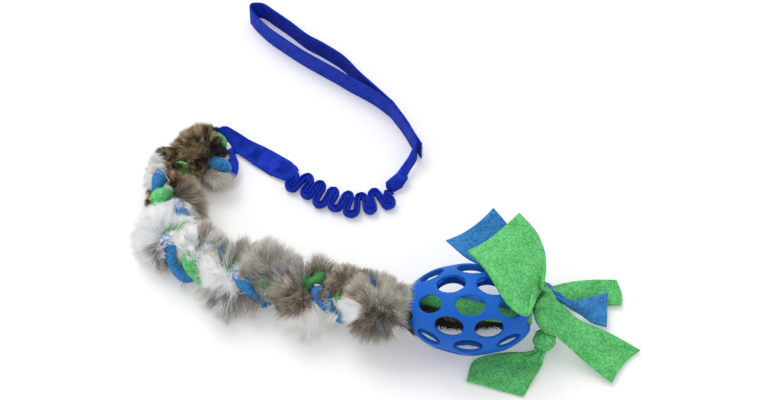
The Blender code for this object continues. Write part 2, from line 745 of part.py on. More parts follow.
def tails():
    """Three knots at the ball's right mouth, and the six free ends of the strips tied in them."""
    knot("upper_knot", GREEN_FLEECE)
    knot("lower_knot", GREEN_FLEECE)
    knot("blue_knot", BLUE_FLEECE)
    tail(
        "green_tail_top", "upper_knot", (-0.20, 0.45, 0.86), (0.0045, 0.0035, -0.001),
        [(-0.013, 0.000, 0.940), (-0.044, 0.0240, 1.010), (-0.0590, 0.0500, 0.840)],
        [(0.0160, 0.0370, 0.820), (0.0080, 0.0640, 0.960), (-0.0110, 0.0870, 0.955)],
        GREEN_FLEECE, (0, 0, 0.007), seat=0.0019,
    )
    tail(
        "blue_tail_back", "blue_knot", (-0.60, 0.55, 0.58), (0.0040, 0.0040, 0),
        [(-0.0230, 0.0500, 0.50), (-0.0560, 0.0570, 0.525), (-0.0805, 0.0790, 0.57)],
        [(0.0000, 0.0640, 0.50), (-0.0140, 0.0860, 0.60), (-0.0340, 0.1090, 0.70)],
        BLUE_FLEECE, (0, 0, -0.003), seat=0.0008,
    )
    tail(
        "green_tail_long", "upper_knot", (0.95, -0.10, -0.30), (-0.0015, -0.0060, -0.0020),
        [(0.0490, 0.0030, 0.330), (0.0800, -0.0080, 0.170), (0.1065, -0.0165, 0.030)],
        [(0.0300, -0.0220, 0.300), (0.0540, -0.0380, 0.150), (0.0765, -0.0535, 0.030)],
        GREEN_FLEECE, (0, 0, 0.003), seat=0.0013,
    )
    tail(
        "blue_tail_right", "blue_knot", (0.90, -0.15, -0.35), (0.0005, -0.0040, -0.0010),
        [(0.0450, 0.0420, 0.290), (0.0640, 0.0450, 0.190), (0.0780, 0.0475, 0.130)],
        [(0.0420, 0.0200, 0.200), (0.0600, 0.0120, 0.090), (0.0745, 0.0080, 0.050)],
        BLUE_FLEECE, (0, 0, 0.002), seat=0.0015,
    )
    tail(
        "green_tail_back", "blue_knot", (0.25, 0.30, -0.90), (0.0030, -0.0035, 0),
        [(0.0180, 0.0420, 0.210), (0.0400, 0.0540, 0.130), (0.0800, 0.0610, 0.070)],
        [(0.0250, 0.0300, 0.150), (0.0440, 0.0330, 0.070), (0.0830, 0.0340, 0.030)],
        GREEN_FLEECE, (0, 0, 0.001), seat=0.0006,
    )
    tail(
        "green_tail_low", "lower_knot", (-0.35, -0.45, -0.82), (0.0050, -0.0030, 0),
        [(-0.0240, -0.0210, 0.040), (-0.0530, -0.0270, 0.030), (-0.0620, -0.0510, 0.022)],
        [(0.0110, -0.0340, 0.050), (0.0020, -0.0500, 0.035), (-0.0080, -0.0675, 0.022)],
        GREEN_FLEECE, (0, 0, 0.001),
    )


def pivot(name, place, parent, pieces):
    """An empty on the axis of a joint, which carries the pieces that move about it or along it."""
    empty = bpy.data.objects.new(name, None)
    parts.objects.link(empty)
    empty.parent = parent
    bpy.context.view_layer.update()
    empty.matrix_world = Matrix.Translation(place)
    bpy.context.view_layer.update()
    for piece in pieces:
        obj = parts.objects[piece]
        world = obj.matrix_world.copy()
        obj.parent = empty
        obj.matrix_world = world
    return empty


def pivots(rear, raw_end):
    """What turns about what, from the bend in the braid to the tails and the hand loop."""
    braid_rear = pivot(
        "braid_rear_pivot", BRAID_ROUTE.at(BEND_AT), toy,
        [f"{colour}_strand_rear" for colour in FLEECES],
    )
    ball_pivot = pivot(
        "ball_pivot", BRAID_END, braid_rear,
        ["ball", *KNOT_SIZES, *[f"{colour}_strand_in_ball" for colour in FLEECES]],
    )
    for name, root in TAIL_ROOTS.items():
        pivot(name + "_pivot", root, ball_pivot, [name])
    tab_pivot = pivot(
        "tab_pivot", Vector((EYE_X, BIGHT_Y, BIGHT_MIDDLE)), toy,
        ["tab_top_webbing", "tab_under_webbing", "eye_webbing", "tab_front_stitch", "tab_eye_stitch",
         "bungee_sleeve", "elastic_core"],
    )
    lead_end = pivot("bungee_end_slide", rear, tab_pivot, ["rear_webbing"])
    pivot(
        "handle_pivot", raw_end, lead_end,
        ["handle_webbing", "handle_base_stitch", "handle_neck_stitch"],
    )


def settle():
    """Stands the toy on z = 0 with the origin under the middle of its box."""
    bpy.context.view_layer.update()
    graph = bpy.context.evaluated_depsgraph_get()
    corners = []
    for obj in parts.objects:
        if obj.type != "EMPTY":
            mesh = bpy.data.meshes.new_from_object(obj.evaluated_get(graph))
            corners += [obj.matrix_world @ vert.co for vert in mesh.vertices]
            bpy.data.meshes.remove(mesh)
    low = Vector([min(c[i] for c in corners) for i in range(3)])
    high = Vector([max(c[i] for c in corners) for i in range(3)])
    toy.location = (-(low.x + high.x) / 2, -(low.y + high.y) / 2, -low.z)
    print("toy moved by", [round(v, 5) for v in toy.location], "size", [round(v, 4) for v in high - low])


flex, flex_way, raw_end = handle()
tab_front = tab()
sleeve_height = SLEEVE_DIAMETER / 2
front = Vector((tab_front.x, tab_front.y, sleeve_height))
rear = Vector((0.0095, 0.0095, sleeve_height))
rear_way = Vector((1, 1, 0)).normalized()
bungee(front, -TAB_WAY, rear, rear_way)
rear_flat(rear + rear_way * GAP, rear_way, flex + flex_way * FLEX_GAP)
braid()
ball_strands()
ball()
tails()
pivots(rear, raw_end)
settle()
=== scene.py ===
"""The looks of the bungee tug toy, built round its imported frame: webbing, sleeve, fleece, fur and rubber.

Sizes and places are in metres, in the part's own frame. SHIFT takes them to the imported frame.
"""
import json
import math

import bmesh
import bpy
import numpy as np
from mathutils import Matrix, Vector
from mathutils.kdtree import KDTree


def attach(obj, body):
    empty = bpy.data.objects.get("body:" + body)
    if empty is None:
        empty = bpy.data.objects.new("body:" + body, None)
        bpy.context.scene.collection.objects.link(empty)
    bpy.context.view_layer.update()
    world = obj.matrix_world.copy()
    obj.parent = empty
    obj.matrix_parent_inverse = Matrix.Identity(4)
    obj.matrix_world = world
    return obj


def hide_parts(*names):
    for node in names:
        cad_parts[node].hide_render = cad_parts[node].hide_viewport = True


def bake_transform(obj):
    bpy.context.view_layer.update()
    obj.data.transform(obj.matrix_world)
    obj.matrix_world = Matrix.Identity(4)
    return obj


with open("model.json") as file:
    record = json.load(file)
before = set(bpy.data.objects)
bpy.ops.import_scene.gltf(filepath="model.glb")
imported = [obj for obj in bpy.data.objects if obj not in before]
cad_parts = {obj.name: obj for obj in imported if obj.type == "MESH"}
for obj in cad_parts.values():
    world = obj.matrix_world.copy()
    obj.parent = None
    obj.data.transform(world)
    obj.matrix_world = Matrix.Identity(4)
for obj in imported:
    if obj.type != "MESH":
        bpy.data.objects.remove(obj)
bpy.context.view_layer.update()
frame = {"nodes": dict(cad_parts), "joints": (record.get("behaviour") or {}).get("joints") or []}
random = np.random.default_rng(7)

# the part's sizes, as in its source
WEB_WIDTH = 0.025
WEB_THICK = 0.0018
GAP = 0.0003
LAYER_STEP = WEB_THICK + GAP
FLEECE_THICK = 0.003
FLOOR_GAP = 0.0002
ROUNDING = 0.8  # how far in from a cloth's edge it is rounded, as a share of its thickness
UP = np.array([0, 0, 1])
BALL_LENGTH = 0.127
BALL_DIAMETER = 0.088
BALL_WALL = 0.0045
BALL_MOUTH_RADIUS = 0.0175
BALL_PLACE = np.array([0.0835, -0.1578, BALL_DIAMETER / 2])
BALL_YAW = math.radians(-3.5)
BALL_AXIS = np.array([math.cos(BALL_YAW), math.sin(BALL_YAW), 0])
MOUTH_AT = BALL_LENGTH / 2 * math.sqrt(1 - (2 * BALL_MOUTH_RADIUS / BALL_DIAMETER) ** 2)
BALL_RIGHT = BALL_PLACE + BALL_AXIS * MOUTH_AT
NECK_RUN = 0.009
BRAID_END = BALL_PLACE - BALL_AXIS * (MOUTH_AT + NECK_RUN)
CAMERA_DISTANCE = 2.5
CAMERA_ELEVATION = math.radians(55)
FOCAL_PIXELS = 2500
PHOTO_WIDTH = 764
JOINTS = {joint["name"]: joint for joint in frame["joints"]}
SHIFT = np.array(JOINTS["ball_swing"]["pos_m"]) - BRAID_END


def unit(v):
    v = np.asarray(v, float)
    return v / np.maximum(np.linalg.norm(v, axis=-1, keepdims=True), 1e-12)


def smoothstep(value):
    value = np.clip(value, 0, 1)
    return value * value * (3 - 2 * value)


def circle(count):
    """Angles that go evenly round a full turn."""
    return 2 * np.pi * np.arange(count) / count


def new_object(name, data):
    obj = bpy.data.objects.new(name, data)
    bpy.context.scene.collection.objects.link(obj)
    return obj


class Route:
    """A smooth curve through the points, read by its arc length."""

    def __init__(self, points, dense=40):
        p = np.array([tuple(point) for point in points], float)
        ends = np.vstack([2 * p[0] - p[1], p, 2 * p[-1] - p[-2]])
        t = np.linspace(0, 1, dense, endpoint=False)[:, None]
        pieces = []
        for a, b, c, d in zip(ends, ends[1:], ends[2:], ends[3:]):
            pieces.append(
                0.5 * (2 * b + (c - a) * t + (2 * a - 5 * b + 4 * c - d) * t**2
                       + (3 * b - a - 3 * c + d) * t**3)
            )
        self.curve = np.vstack([*pieces, p[-1:]])
        self.marks = lengths_along(self.curve)
        self.length = self.marks[-1]

    def at(self, s):
        s = np.clip(s, 0, self.length)
        return np.stack([np.interp(s, self.marks, self.curve[:, i]) for i in range(3)], axis=-1)

    def tangent(self, s, reach=0.001):
        return unit(self.at(np.asarray(s) + reach) - self.at(np.asarray(s) - reach))

    def side(self, s):
        """The level direction to the left of the way along the route."""
        along = self.tangent(s)
        return unit(np.stack([-along[..., 1], along[..., 0], np.zeros_like(along[..., 0])], axis=-1))

    def up(self, s):
        return np.cross(self.tangent(s), self.side(s))

    def around(self, s, turn):
        """Directions straight away from the route, at each place and each angle round it."""
        side = self.side(s)[:, None] * np.cos(turn)[None, :, None]
        return side + self.up(s)[:, None] * np.sin(turn)[None, :, None]

    def nearest(self, place):
        return self.marks[np.argmin(np.linalg.norm(self.curve - np.array(place), axis=1))]

    def even(self, count):
        return self.at(np.linspace(0, self.length, count + 1))


ROYAL_SHADOW = (0.004, 0.022, 0.36, 1)
WARP_PITCH = 0.0013
RIB_PITCH = 0.0017


class Paint:
    """A material in the making."""

    def __init__(self, name):
        self.made = bpy.data.materials.new(name)
        self.made.use_nodes = True
        self.tree = self.made.node_tree

    def feed(self, node, **inputs):
        """Links or sets a node's inputs, by name or by number as in i0; an underscore leads a setting."""
        for key, value in inputs.items():
            if key.startswith("_"):
                setattr(node, key[1:], value)
                continue
            numbered = key[0] == "i" and key[1:].isdigit()
            socket = node.inputs[int(key[1:]) if numbered else key.replace("_", " ")]
            if isinstance(value, bpy.types.NodeSocket):
                self.tree.links.new(value, socket)
            else:
                socket.default_value = value
        return node

    def add(self, kind, **inputs):
        return self.feed(self.tree.nodes.new("ShaderNode" + kind), **inputs)

    def maths(self, operation, *values):
        inputs = {f"i{number}": value for number, value in enumerate(values)}
        return self.add("Math", _operation=operation, **inputs).outputs[0]

    def pattern(self, kind, **inputs):
        """A pattern in the object's own space."""
        return self.add(kind, Vector=self.add("TexCoord").outputs["Object"], **inputs).outputs["Fac"]

    def noise(self, scale, detail, roughness=0.5):
        return self.pattern("TexNoise", Scale=scale, Detail=detail, Roughness=roughness)

    def stretch(self, value, low, high, start=0.0, end=1.0):
        """Takes a value between low and high to one between start and end."""
        node = self.add("MapRange", Value=value, From_Min=low, From_Max=high, To_Min=start, To_Max=end)
        return node.outputs[0]

    def mix(self, factor, low, high):
        """A colour that goes from low to high with the factor."""
        return self.add("Mix", _data_type="RGBA", i0=factor, i6=low, i7=high).outputs[2]

    def spot(self, name):
        """Where a point lies on the named map, across and up."""
        return self.add("SeparateXYZ", Vector=self.add("UVMap", _uv_map=name).outputs[0]).outputs[:2]

    def finish(self, height=None, strength=0.0, distance=0.0, **values):
        """Gives the shader its values, and its relief if it has one."""
        if height is not None:
            relief = self.add("Bump", Strength=strength, Distance=distance, Height=height)
            values["Normal"] = relief.outputs[0]
        self.feed(self.tree.nodes["Principled BSDF"], **values)
        return self.made


def fleece_material(name, shadow, light):
    """Brushed fleece: small pills and a short nap, mottled a little lighter and darker."""
    paint = Paint(name)
    pills = paint.noise(430.0, 3.0, 0.6)
    mottle = paint.maths("MULTIPLY_ADD", pills, 0.75, -0.02)
    mottle = paint.maths("MULTIPLY_ADD", paint.noise(95.0, 2.0), 0.3, mottle)
    return paint.finish(
        pills, 0.6, 0.0012, Base_Color=paint.mix(paint.stretch(mottle, 0.36, 0.64), shadow, light),
        Roughness=0.95, Specular_IOR_Level=0.12, Sheen_Weight=0.2, Sheen_Roughness=0.5,
    )


def webbing_material():
    """Royal blue tubular webbing: fine ribs across it, crossed by its warp, mottled at random, with painted
    shade in the grooves of its weave.
    """
    paint = Paint("webbing")
    across, along = paint.spot("weave")
    warp = paint.maths("SINE", paint.maths("MULTIPLY", across, 2 * math.pi / WARP_PITCH))
    ribs = paint.maths("SINE", paint.maths("MULTIPLY", along, 2 * math.pi / RIB_PITCH))
    weave = paint.maths("MULTIPLY", ribs, warp)
    wear = paint.noise(140.0, 4.0, 0.6)
    # painted shade: the weave darkens the colour in its grooves; the wear noise is a random mottle
    tone = paint.stretch(paint.maths("MULTIPLY_ADD", weave, 0.12, wear), 0.3, 0.72)
    return paint.finish(
        paint.maths("MULTIPLY_ADD", weave, 0.35, wear), 0.45, 0.0004,
        Base_Color=paint.mix(tone, ROYAL_SHADOW, (0.014, 0.054, 0.62, 1)),
        Roughness=0.8, Specular_IOR_Level=0.14, Sheen_Weight=0.04,
    )


def thread_material():
    paint = Paint("thread")
    twist = paint.pattern("TexWave", Scale=900.0, Distortion=2.0)
    colour = paint.mix(twist, ROYAL_SHADOW, (0.012, 0.048, 0.62, 1))
    return paint.finish(twist, 0.4, 0.0002, Base_Color=colour, Roughness=0.6)


def elastic_material():
    paint = Paint("elastic")
    cover = paint.noise(900.0, 2.0)
    colour = paint.mix(cover, (0.01, 0.01, 0.01, 1), (0.035, 0.035, 0.035, 1))
    return paint.finish(cover, 0.4, 0.0002, Base_Color=colour, Roughness=0.9)


def rubber_material():
    """Moulded rubber with a satin skin: a faint bloom, a fine grain and small scuffs."""
    paint = Paint("rubber")
    bloom = paint.noise(38.0, 3.0, 0.55)
    return paint.finish(
        paint.noise(1400.0, 2.0), 0.12, 0.0002,
        Base_Color=paint.mix(bloom, (0.003, 0.108, 0.53, 1), (0.008, 0.152, 0.68, 1)),
        Roughness=paint.stretch(bloom, 0.3, 0.7, 0.36, 0.5), Specular_IOR_Level=0.22,
    )


# each coat of the fur: how its hairs look at the root, in the middle and at the tip
COATS = {
    "black": ((0.006, 0.006, 0.006), (0.014, 0.012, 0.011), (0.06, 0.046, 0.036)),
    "agouti": ((0.01, 0.008, 0.007), (0.04, 0.026, 0.018), (0.7, 0.52, 0.29)),
    "brown": ((0.028, 0.022, 0.018), (0.15, 0.115, 0.085), (0.6, 0.51, 0.39)),
    "tan": ((0.06, 0.052, 0.045), (0.3, 0.265, 0.215), (0.74, 0.69, 0.59)),
    "grey": ((0.06, 0.06, 0.06), (0.34, 0.33, 0.305), (0.78, 0.76, 0.71)),
    "slate": ((0.04, 0.04, 0.043), (0.16, 0.158, 0.158), (0.48, 0.47, 0.455)),
    "cream": ((0.48, 0.465, 0.42), (0.74, 0.725, 0.68), (0.9, 0.89, 0.86)),
    "white": ((0.64, 0.66, 0.665), (0.86, 0.88, 0.885), (0.92, 0.93, 0.93)),
}
SHADES = (0.72, 0.9, 1.08, 1.25)
COLUMNS = len(COATS) * len(SHADES)
LIGHTEST = 0.93
FUR_GLOW = 0.24


def fur_material():
    """Hair coloured along its length; its coat and shade are read from where the hair lies in the map.

    Its faint glow stands for the light that passes through such thin hair.
    """
    paint = Paint("fur")
    column, along = paint.spot("OFBake")
    ramps = []
    for part in range(3):
        ramp = paint.add("ValToRGB", Fac=column)
        ramp.color_ramp.interpolation = "CONSTANT"
        stops = ramp.color_ramp.elements
        for number in range(COLUMNS):
            tones = list(COATS.values())[number // len(SHADES)][part]
            stop = stops[number] if number < 2 else stops.new(number / COLUMNS)
            stop.position = number / COLUMNS
            stop.color = (*[min(tone * SHADES[number % len(SHADES)], LIGHTEST) for tone in tones], 1)
        ramps.append(ramp.outputs[0])
    colour = paint.mix(paint.stretch(along, 0.05, 0.5), ramps[0], ramps[1])
    colour = paint.mix(paint.stretch(along, 0.6, 1.0), colour, ramps[2])
    return paint.finish(
        Base_Color=colour, Roughness=0.75, Specular_IOR_Level=0.2,
        Emission_Color=colour, Emission_Strength=FUR_GLOW,
    )


WEBBING = webbing_material()
THREAD = thread_material()
ELASTIC = elastic_material()
RUBBER = rubber_material()
FUR = fur_material()
GREEN = fleece_material("green_fleece_nap", (0.06, 0.4, 0.1, 1), (0.195, 0.74, 0.25, 1))
BLUE = fleece_material("blue_fleece_nap", (0.02, 0.155, 0.45, 1), (0.075, 0.34, 0.76, 1))
STRIPS = {"blue": (BLUE, "blue_fleece"), "green": (GREEN, "green_fleece"), "fur": (FUR, "rabbit_fur")}


def corner_vertices(mesh):
    corners = np.zeros(len(mesh.loops), int)
    mesh.loops.foreach_get("vertex_index", corners)
    return corners


def add_map(mesh, name, spots):
    """A map on a mesh, with a spot for each corner of its faces."""
    layer = mesh.uv_layers.new(name=name)
    layer.data.foreach_set("uv", np.asarray(spots, np.float32).ravel())


def quads(index):
    """The faces of a grid, from the number of the vertex at each of its places."""
    return np.stack([index[:-1, :-1], index[:-1, 1:], index[1:, 1:], index[1:, :-1]], axis=-1).reshape(-1, 4)


def mesh_object(name, points, faces, mat, weave):
    """A new piece; weave gives each vertex its place on the flat cloth, in metres."""
    mesh = bpy.data.meshes.new(name)
    mesh.from_pydata((points + SHIFT).tolist(), [], faces)
    mesh.validate()
    add_map(mesh, "weave", weave[corner_vertices(mesh)])
    mesh.materials.append(mat)
    mesh.shade_smooth()
    return new_object(name, mesh)


def sweep(name, rings, mat):
    """A closed body through rings of points, with a cap at each end."""
    count, around, _ = rings.shape
    index = np.arange(count * around).reshape(count, around)
    faces = quads(np.pad(index, ((0, 0), (0, 1)), mode="wrap")).tolist()
    first = count * around
    faces += [(first, (j + 1) % around, j) for j in range(around)]
    end = (count - 1) * around
    faces += [(first + 1, end + j, end + (j + 1) % around) for j in range(around)]
    points = np.vstack([rings.reshape(-1, 3), rings[0].mean(0), rings[-1].mean(0)])
    along = lengths_along(rings.mean(1))
    girth = np.linalg.norm(rings[count // 2] - np.roll(rings[count // 2], 1, axis=0), axis=1).sum()
    across = np.abs(np.linspace(-1, 1, around)) * girth / 2
    spots = np.stack(np.meshgrid(across, along), axis=-1).reshape(-1, 2)
    return mesh_object(name, points, faces, mat, np.vstack([spots, [[0, 0]], [[0, along[-1]]]]))


def lengths_along(points):
    """How far along the line through the points each of them lies."""
    return np.concatenate([[0], np.cumsum(np.linalg.norm(np.diff(points, axis=0), axis=1))])


def grid_normals(grid):
    along = np.gradient(grid, axis=0)
    across = np.gradient(grid, axis=1)
    return unit(np.cross(along, across))


def cloth(name, grid, thickness, mat, lumps=0.0):
    """A closed sheet on a grid of points, rows along it, with rounded edges and a thickness for each row."""
    rows, columns, _ = grid.shape
    thickness = np.broadcast_to(thickness, rows)[:, None]
    u = np.linspace(-1, 1, columns)
    width = np.linalg.norm(np.diff(grid, axis=1), axis=2).sum(1)
    along = lengths_along(grid[:, columns // 2])
    edge_gap = (1 - np.abs(u)[None, :]) * width[:, None] / 2
    end_gap = np.minimum(along, along[-1] - along)[:, None]
    near = np.clip(np.minimum(edge_gap, end_gap) / (thickness * ROUNDING), 0, 1)
    swell = (np.sqrt(np.clip(1 - (1 - near) ** 2, 0, 1)) * thickness / 2)[..., None]
    if lumps:
        swell = swell + (random.random((rows, columns, 1)) - 0.5) * lumps * (near[..., None] > 0)
    swell = grid_normals(grid) * swell
    inner = np.zeros((rows, columns), bool)
    inner[1:-1, 1:-1] = True
    top_index = np.arange(rows * columns).reshape(rows, columns)
    low_index = top_index.copy()
    low_index[inner] = rows * columns + np.arange(inner.sum())
    points = np.vstack([np.where(inner[..., None], grid + swell, grid).reshape(-1, 3), (grid - swell)[inner]])
    points[:, 2] = np.maximum(points[:, 2], FLOOR_GAP)
    faces = np.stack([quads(top_index)[:, [0, 3, 2, 1]], quads(low_index)], axis=1).reshape(-1, 4).tolist()
    flat = np.stack([u[None, :] * width[:, None] / 2, np.repeat(along[:, None], columns, axis=1)], axis=-1)
    return mesh_object(name, points, faces, mat, np.vstack([flat.reshape(-1, 2), flat[inner]]))


def edge_columns(count):
    """Places across a strip from -1 to 1, closer together at its edges."""
    even = np.linspace(-1, 1, count)
    return np.sign(even) * (1 - (1 - np.abs(even)) ** 1.6)


def strip_grid(centres, halves, columns=15):
    u = edge_columns(columns)[None, :, None]
    return centres[:, None] + halves[:, None] * u


def keyed(route, spots, values, count):
    """Values that go smoothly from one spot of a route to the next, at even places along it."""
    marks = np.array([route.nearest(spot) for spot in spots])
    s = np.linspace(0, route.length, count + 1)
    place = np.clip(np.searchsorted(marks, s + 1e-9, side="right") - 1, 0, len(marks) - 2)
    share = smoothstep((s - marks[place]) / np.maximum(marks[place + 1] - marks[place], 1e-6))[:, None]
    values = np.asarray(values)
    return values[place] * (1 - share) + values[place + 1] * share


def place_on(obj, slot, body, *nodes):
    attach(obj, body)
    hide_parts(*nodes)


def blend_between(obj, slot, before, after, start, end, *nodes):
    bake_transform(obj)
    if nodes:
        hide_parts(*nodes)


UPRIGHT = UP * (WEB_WIDTH / 2)
SEAM = Route([(0.0393, 0.0504, 0), (0.0312, 0.0658, 0), (0.0233, 0.0823, 0), (0.0102, 0.104, 0)])
SEAM_STEPS = 8


def handle():
    """The hand loop on edge, with both its ends laid together at the base."""
    s = np.linspace(0, SEAM.length, SEAM_STEPS + 1)
    out = SEAM.side(s) * LAYER_STEP / 2
    outer = SEAM.at(s) - out
    inner = SEAM.at(s) + out
    loop = Route([
        outer[-1], (-0.0076, 0.1252, 0), (-0.0226, 0.1422, 0), (-0.0341, 0.1577, 0),
        (-0.0434, 0.1679, 0), (-0.0612, 0.1814, 0), (-0.078, 0.1922, 0), (-0.095, 0.2081, 0),
        (-0.1153, 0.2262, 0), (-0.1238, 0.2334, 0), (-0.1344, 0.2345, 0), (-0.1385, 0.2305, 0),
        (-0.134, 0.2205, 0), (-0.1195, 0.2032, 0), (-0.1012, 0.1874, 0), (-0.0807, 0.1706, 0),
        (-0.0609, 0.1561, 0), (-0.0432, 0.1437, 0), (-0.0339, 0.1369, 0), (-0.0076, 0.1195, 0),
        inner[-1],
    ])
    plan = Route(np.vstack([outer, loop.even(64)[1:-1], inner[:0:-1]]), dense=6)
    count = 420
    centres = plan.even(count) + UPRIGHT
    s = np.linspace(0, plan.length, count + 1)
    sway = 0.0004 * np.sin(s / 0.019) * smoothstep(np.minimum(s, plan.length - s) / 0.09)
    centres = centres + plan.side(s) * sway[:, None]
    grid = strip_grid(centres, np.repeat(UPRIGHT[None], count + 1, axis=0))
    piece = cloth("handle", grid, WEB_THICK, WEBBING)
    place_on(piece, "royal_blue_webbing", "handle", "handle_webbing")
    return inner[1], unit(inner[1] - inner[2]), outer[0]


def columns_of(coat, count):
    """A column of the fur's map for each hair of one coat, with its shade drawn."""
    return list(COATS).index(coat) * len(SHADES) + random.integers(0, len(SHADES), count)


THREAD_STEP = 0.0012


def frayed_end(raw_end):
    """The few pale warp threads that stick out where the loop's outer layer was cut."""
    count = 70
    root = raw_end + UP * random.uniform(0.006, 0.0245, count)[:, None]
    way = unit(SEAM.at(0) - SEAM.at(0.006))
    middle = root + (way + random.normal(0, 0.35, (count, 3))) * THREAD_STEP
    tip = middle + (way + random.normal(0, 0.55, (count, 3))) * THREAD_STEP
    piece = hair_mesh("frayed_threads", root, middle, tip, np.full(count, 0.0004), columns_of("cream", count))
    place_on(piece, "royal_blue_webbing", "handle")


TAB_WAY = unit([-0.822, 0.57, 0])
TAB_SIDE = unit([0.57, 0.822, 0])
TAB_END = np.array([-0.0921, 0.0305, 0])
TAB_FLAT = 0.05
UNDER_LAYER = 0.036
EYE_GAP = 0.0009
EYE_HALF = 0.0027
EYE_STRAND_DIAMETER = 0.0135
ROW_PITCH = 0.0155
BIGHT_X = -0.172
BIGHT_Y = 0.042
BIGHT_TOP = 0.028
BIGHT_LOW = 0.008
BIGHT_MIDDLE = (BIGHT_TOP + BIGHT_LOW) / 2
LOW_LEG = 0.018
EYE_X = BIGHT_X - 0.0032
LAYER_LOW = WEB_THICK / 2
LAYER_TOP = LAYER_LOW + LAYER_STEP


def tab():
    """The flat tab with its two layers and the eye, one strip from the sleeve round the braid and back."""
    half = TAB_SIDE * WEB_WIDTH / 2
    flat_end = TAB_END + TAB_WAY * TAB_FLAT
    away = flat_end + TAB_WAY * EYE_GAP
    reach = ROW_PITCH + EYE_STRAND_DIAMETER / 2
    top = UP * LAYER_TOP
    low = UP * LAYER_LOW
    keys = [
        (TAB_END - TAB_WAY * 0.0045 + [0, 0, LAYER_TOP - 0.0006], half * 0.7),
        (TAB_END + TAB_WAY * 0.001 + top, half * 0.88),
        (TAB_END + TAB_WAY * 0.01 + top, half),
        (TAB_END + TAB_WAY * 0.03 + top, half),
        (TAB_END + TAB_WAY * 0.042 + top, half * 0.96),
        (away + top, half * 0.88),
        (away + TAB_WAY * 0.011 + [0, -0.002, 0.0062], half * 0.7 + [0, 0, 0.003]),
        ((-0.156, BIGHT_Y + reach + 0.008, 0.0128), (0.0012, 0.0056, 0.0048)),
        ((-0.167, BIGHT_Y + reach + 0.0065, BIGHT_MIDDLE), (0.0042, 0.0036, 0.0032)),
        ((EYE_X, BIGHT_Y + ROW_PITCH, BIGHT_MIDDLE), (EYE_HALF, 0, 0)),
        ((EYE_X, BIGHT_Y, BIGHT_MIDDLE), (EYE_HALF, 0, 0)),
        ((EYE_X, BIGHT_Y - ROW_PITCH, BIGHT_MIDDLE), (EYE_HALF, 0, 0)),
        ((-0.1675, BIGHT_Y - reach - 0.0038, 0.015), (0.003, -0.0018, -0.0034)),
        ((-0.156, BIGHT_Y - reach - 0.003, 0.0128), (0.002, -0.0026, -0.0034)),
        ((-0.1498, 0.0245, 0.0112), (0.0042, -0.0012, -0.002)),
        ((-0.1488, 0.0375, 0.01), (0.0046, 0.0006, -0.0014)),
        ((-0.1532, 0.049, 0.008), (0.0054, 0.0016, -0.0012)),
        ((-0.1545, 0.0582, 0.0045), (0.005, 0.004, 0)),
        (away + TAB_WAY * 0.004 + [0, 0, 0.0008], half * 0.6),
        (flat_end - TAB_WAY * 0.012 + low, half * 0.92),
        (flat_end - TAB_WAY * UNDER_LAYER + low, half),
    ]
    line = Route([place for place, _ in keys])
    count = 300
    halves = keyed(line, [place for place, _ in keys], [spread for _, spread in keys], count)
    bunched = 1 - np.linalg.norm(halves, axis=1) / (WEB_WIDTH / 2)
    thickness = WEB_THICK * (1 + 0.9 * np.clip(bunched, 0, 1))
    piece = cloth("tab_and_eye", strip_grid(line.even(count), halves), thickness, WEBBING)
    place_on(piece, "royal_blue_webbing", "tab", "tab_top_webbing", "tab_under_webbing", "eye_webbing")
    return TAB_END - TAB_WAY * GAP


SLEEVE_FOLDS = 7
SLEEVE_FULLNESS = 1.4
SLEEVE_SHIFT = 0.002
SLEEVE_LEAD = 0.0045
SLEEVE_AXIS_HEIGHT = 0.0031
FOLD_STEPS = 16
SLEEVE_TUCK = 0.006
SLEEVE_HALF_WIDTH = 0.00345
SLEEVE_HALF_HEIGHT = 0.005


def sleeve_line(front, front_way, rear, rear_way):
    """The middle of the ruched sleeve, which folds from side to side over the elastic's line."""
    z = SLEEVE_AXIS_HEIGHT
    run = Route([
        front + front_way * SLEEVE_LEAD, (-0.08, 0.0188, z), (-0.062, 0.006, z), (-0.039, -0.0047, z),
        (-0.024, -0.007, z), (-0.005, -0.0025, z), (0.0035, 0.0026, z), rear - rear_way * SLEEVE_LEAD,
    ])
    steps = FOLD_STEPS * SLEEVE_FOLDS
    turn = 2 * np.pi * SLEEVE_FOLDS * (np.arange(steps) + 0.5) / steps
    headings = np.pi / 2 * np.clip(SLEEVE_FULLNESS * np.sin(turn), -1, 1)
    half_pass = FOLD_STEPS // 4 - 1
    headings = np.delete(headings, np.s_[half_pass:2 * half_pass])
    headings = np.delete(headings, np.s_[len(headings) - 2 * half_pass:len(headings) - half_pass])
    step = run.length / np.cos(headings).sum()
    along = np.concatenate([[0], np.cumsum(np.cos(headings) * step)])
    across = np.concatenate([[0], np.cumsum(-np.sin(headings) * step)])
    middle = (across.max() + across.min()) / 2 + SLEEVE_SHIFT
    index = np.arange(len(along))
    across = middle + (across - middle) * (1 + 0.12 * np.sin(index * 0.21 + 0.4))
    along = along + 0.001 * np.sin(index * 0.33 + 1.0)
    ease = smoothstep(np.minimum(index, len(headings) - index) / half_pass)
    winding = run.at(along) + run.side(along) * ((across - middle) * ease)[:, None]
    return Route(np.vstack([front - front_way * SLEEVE_TUCK, front, winding, rear]), dense=8)


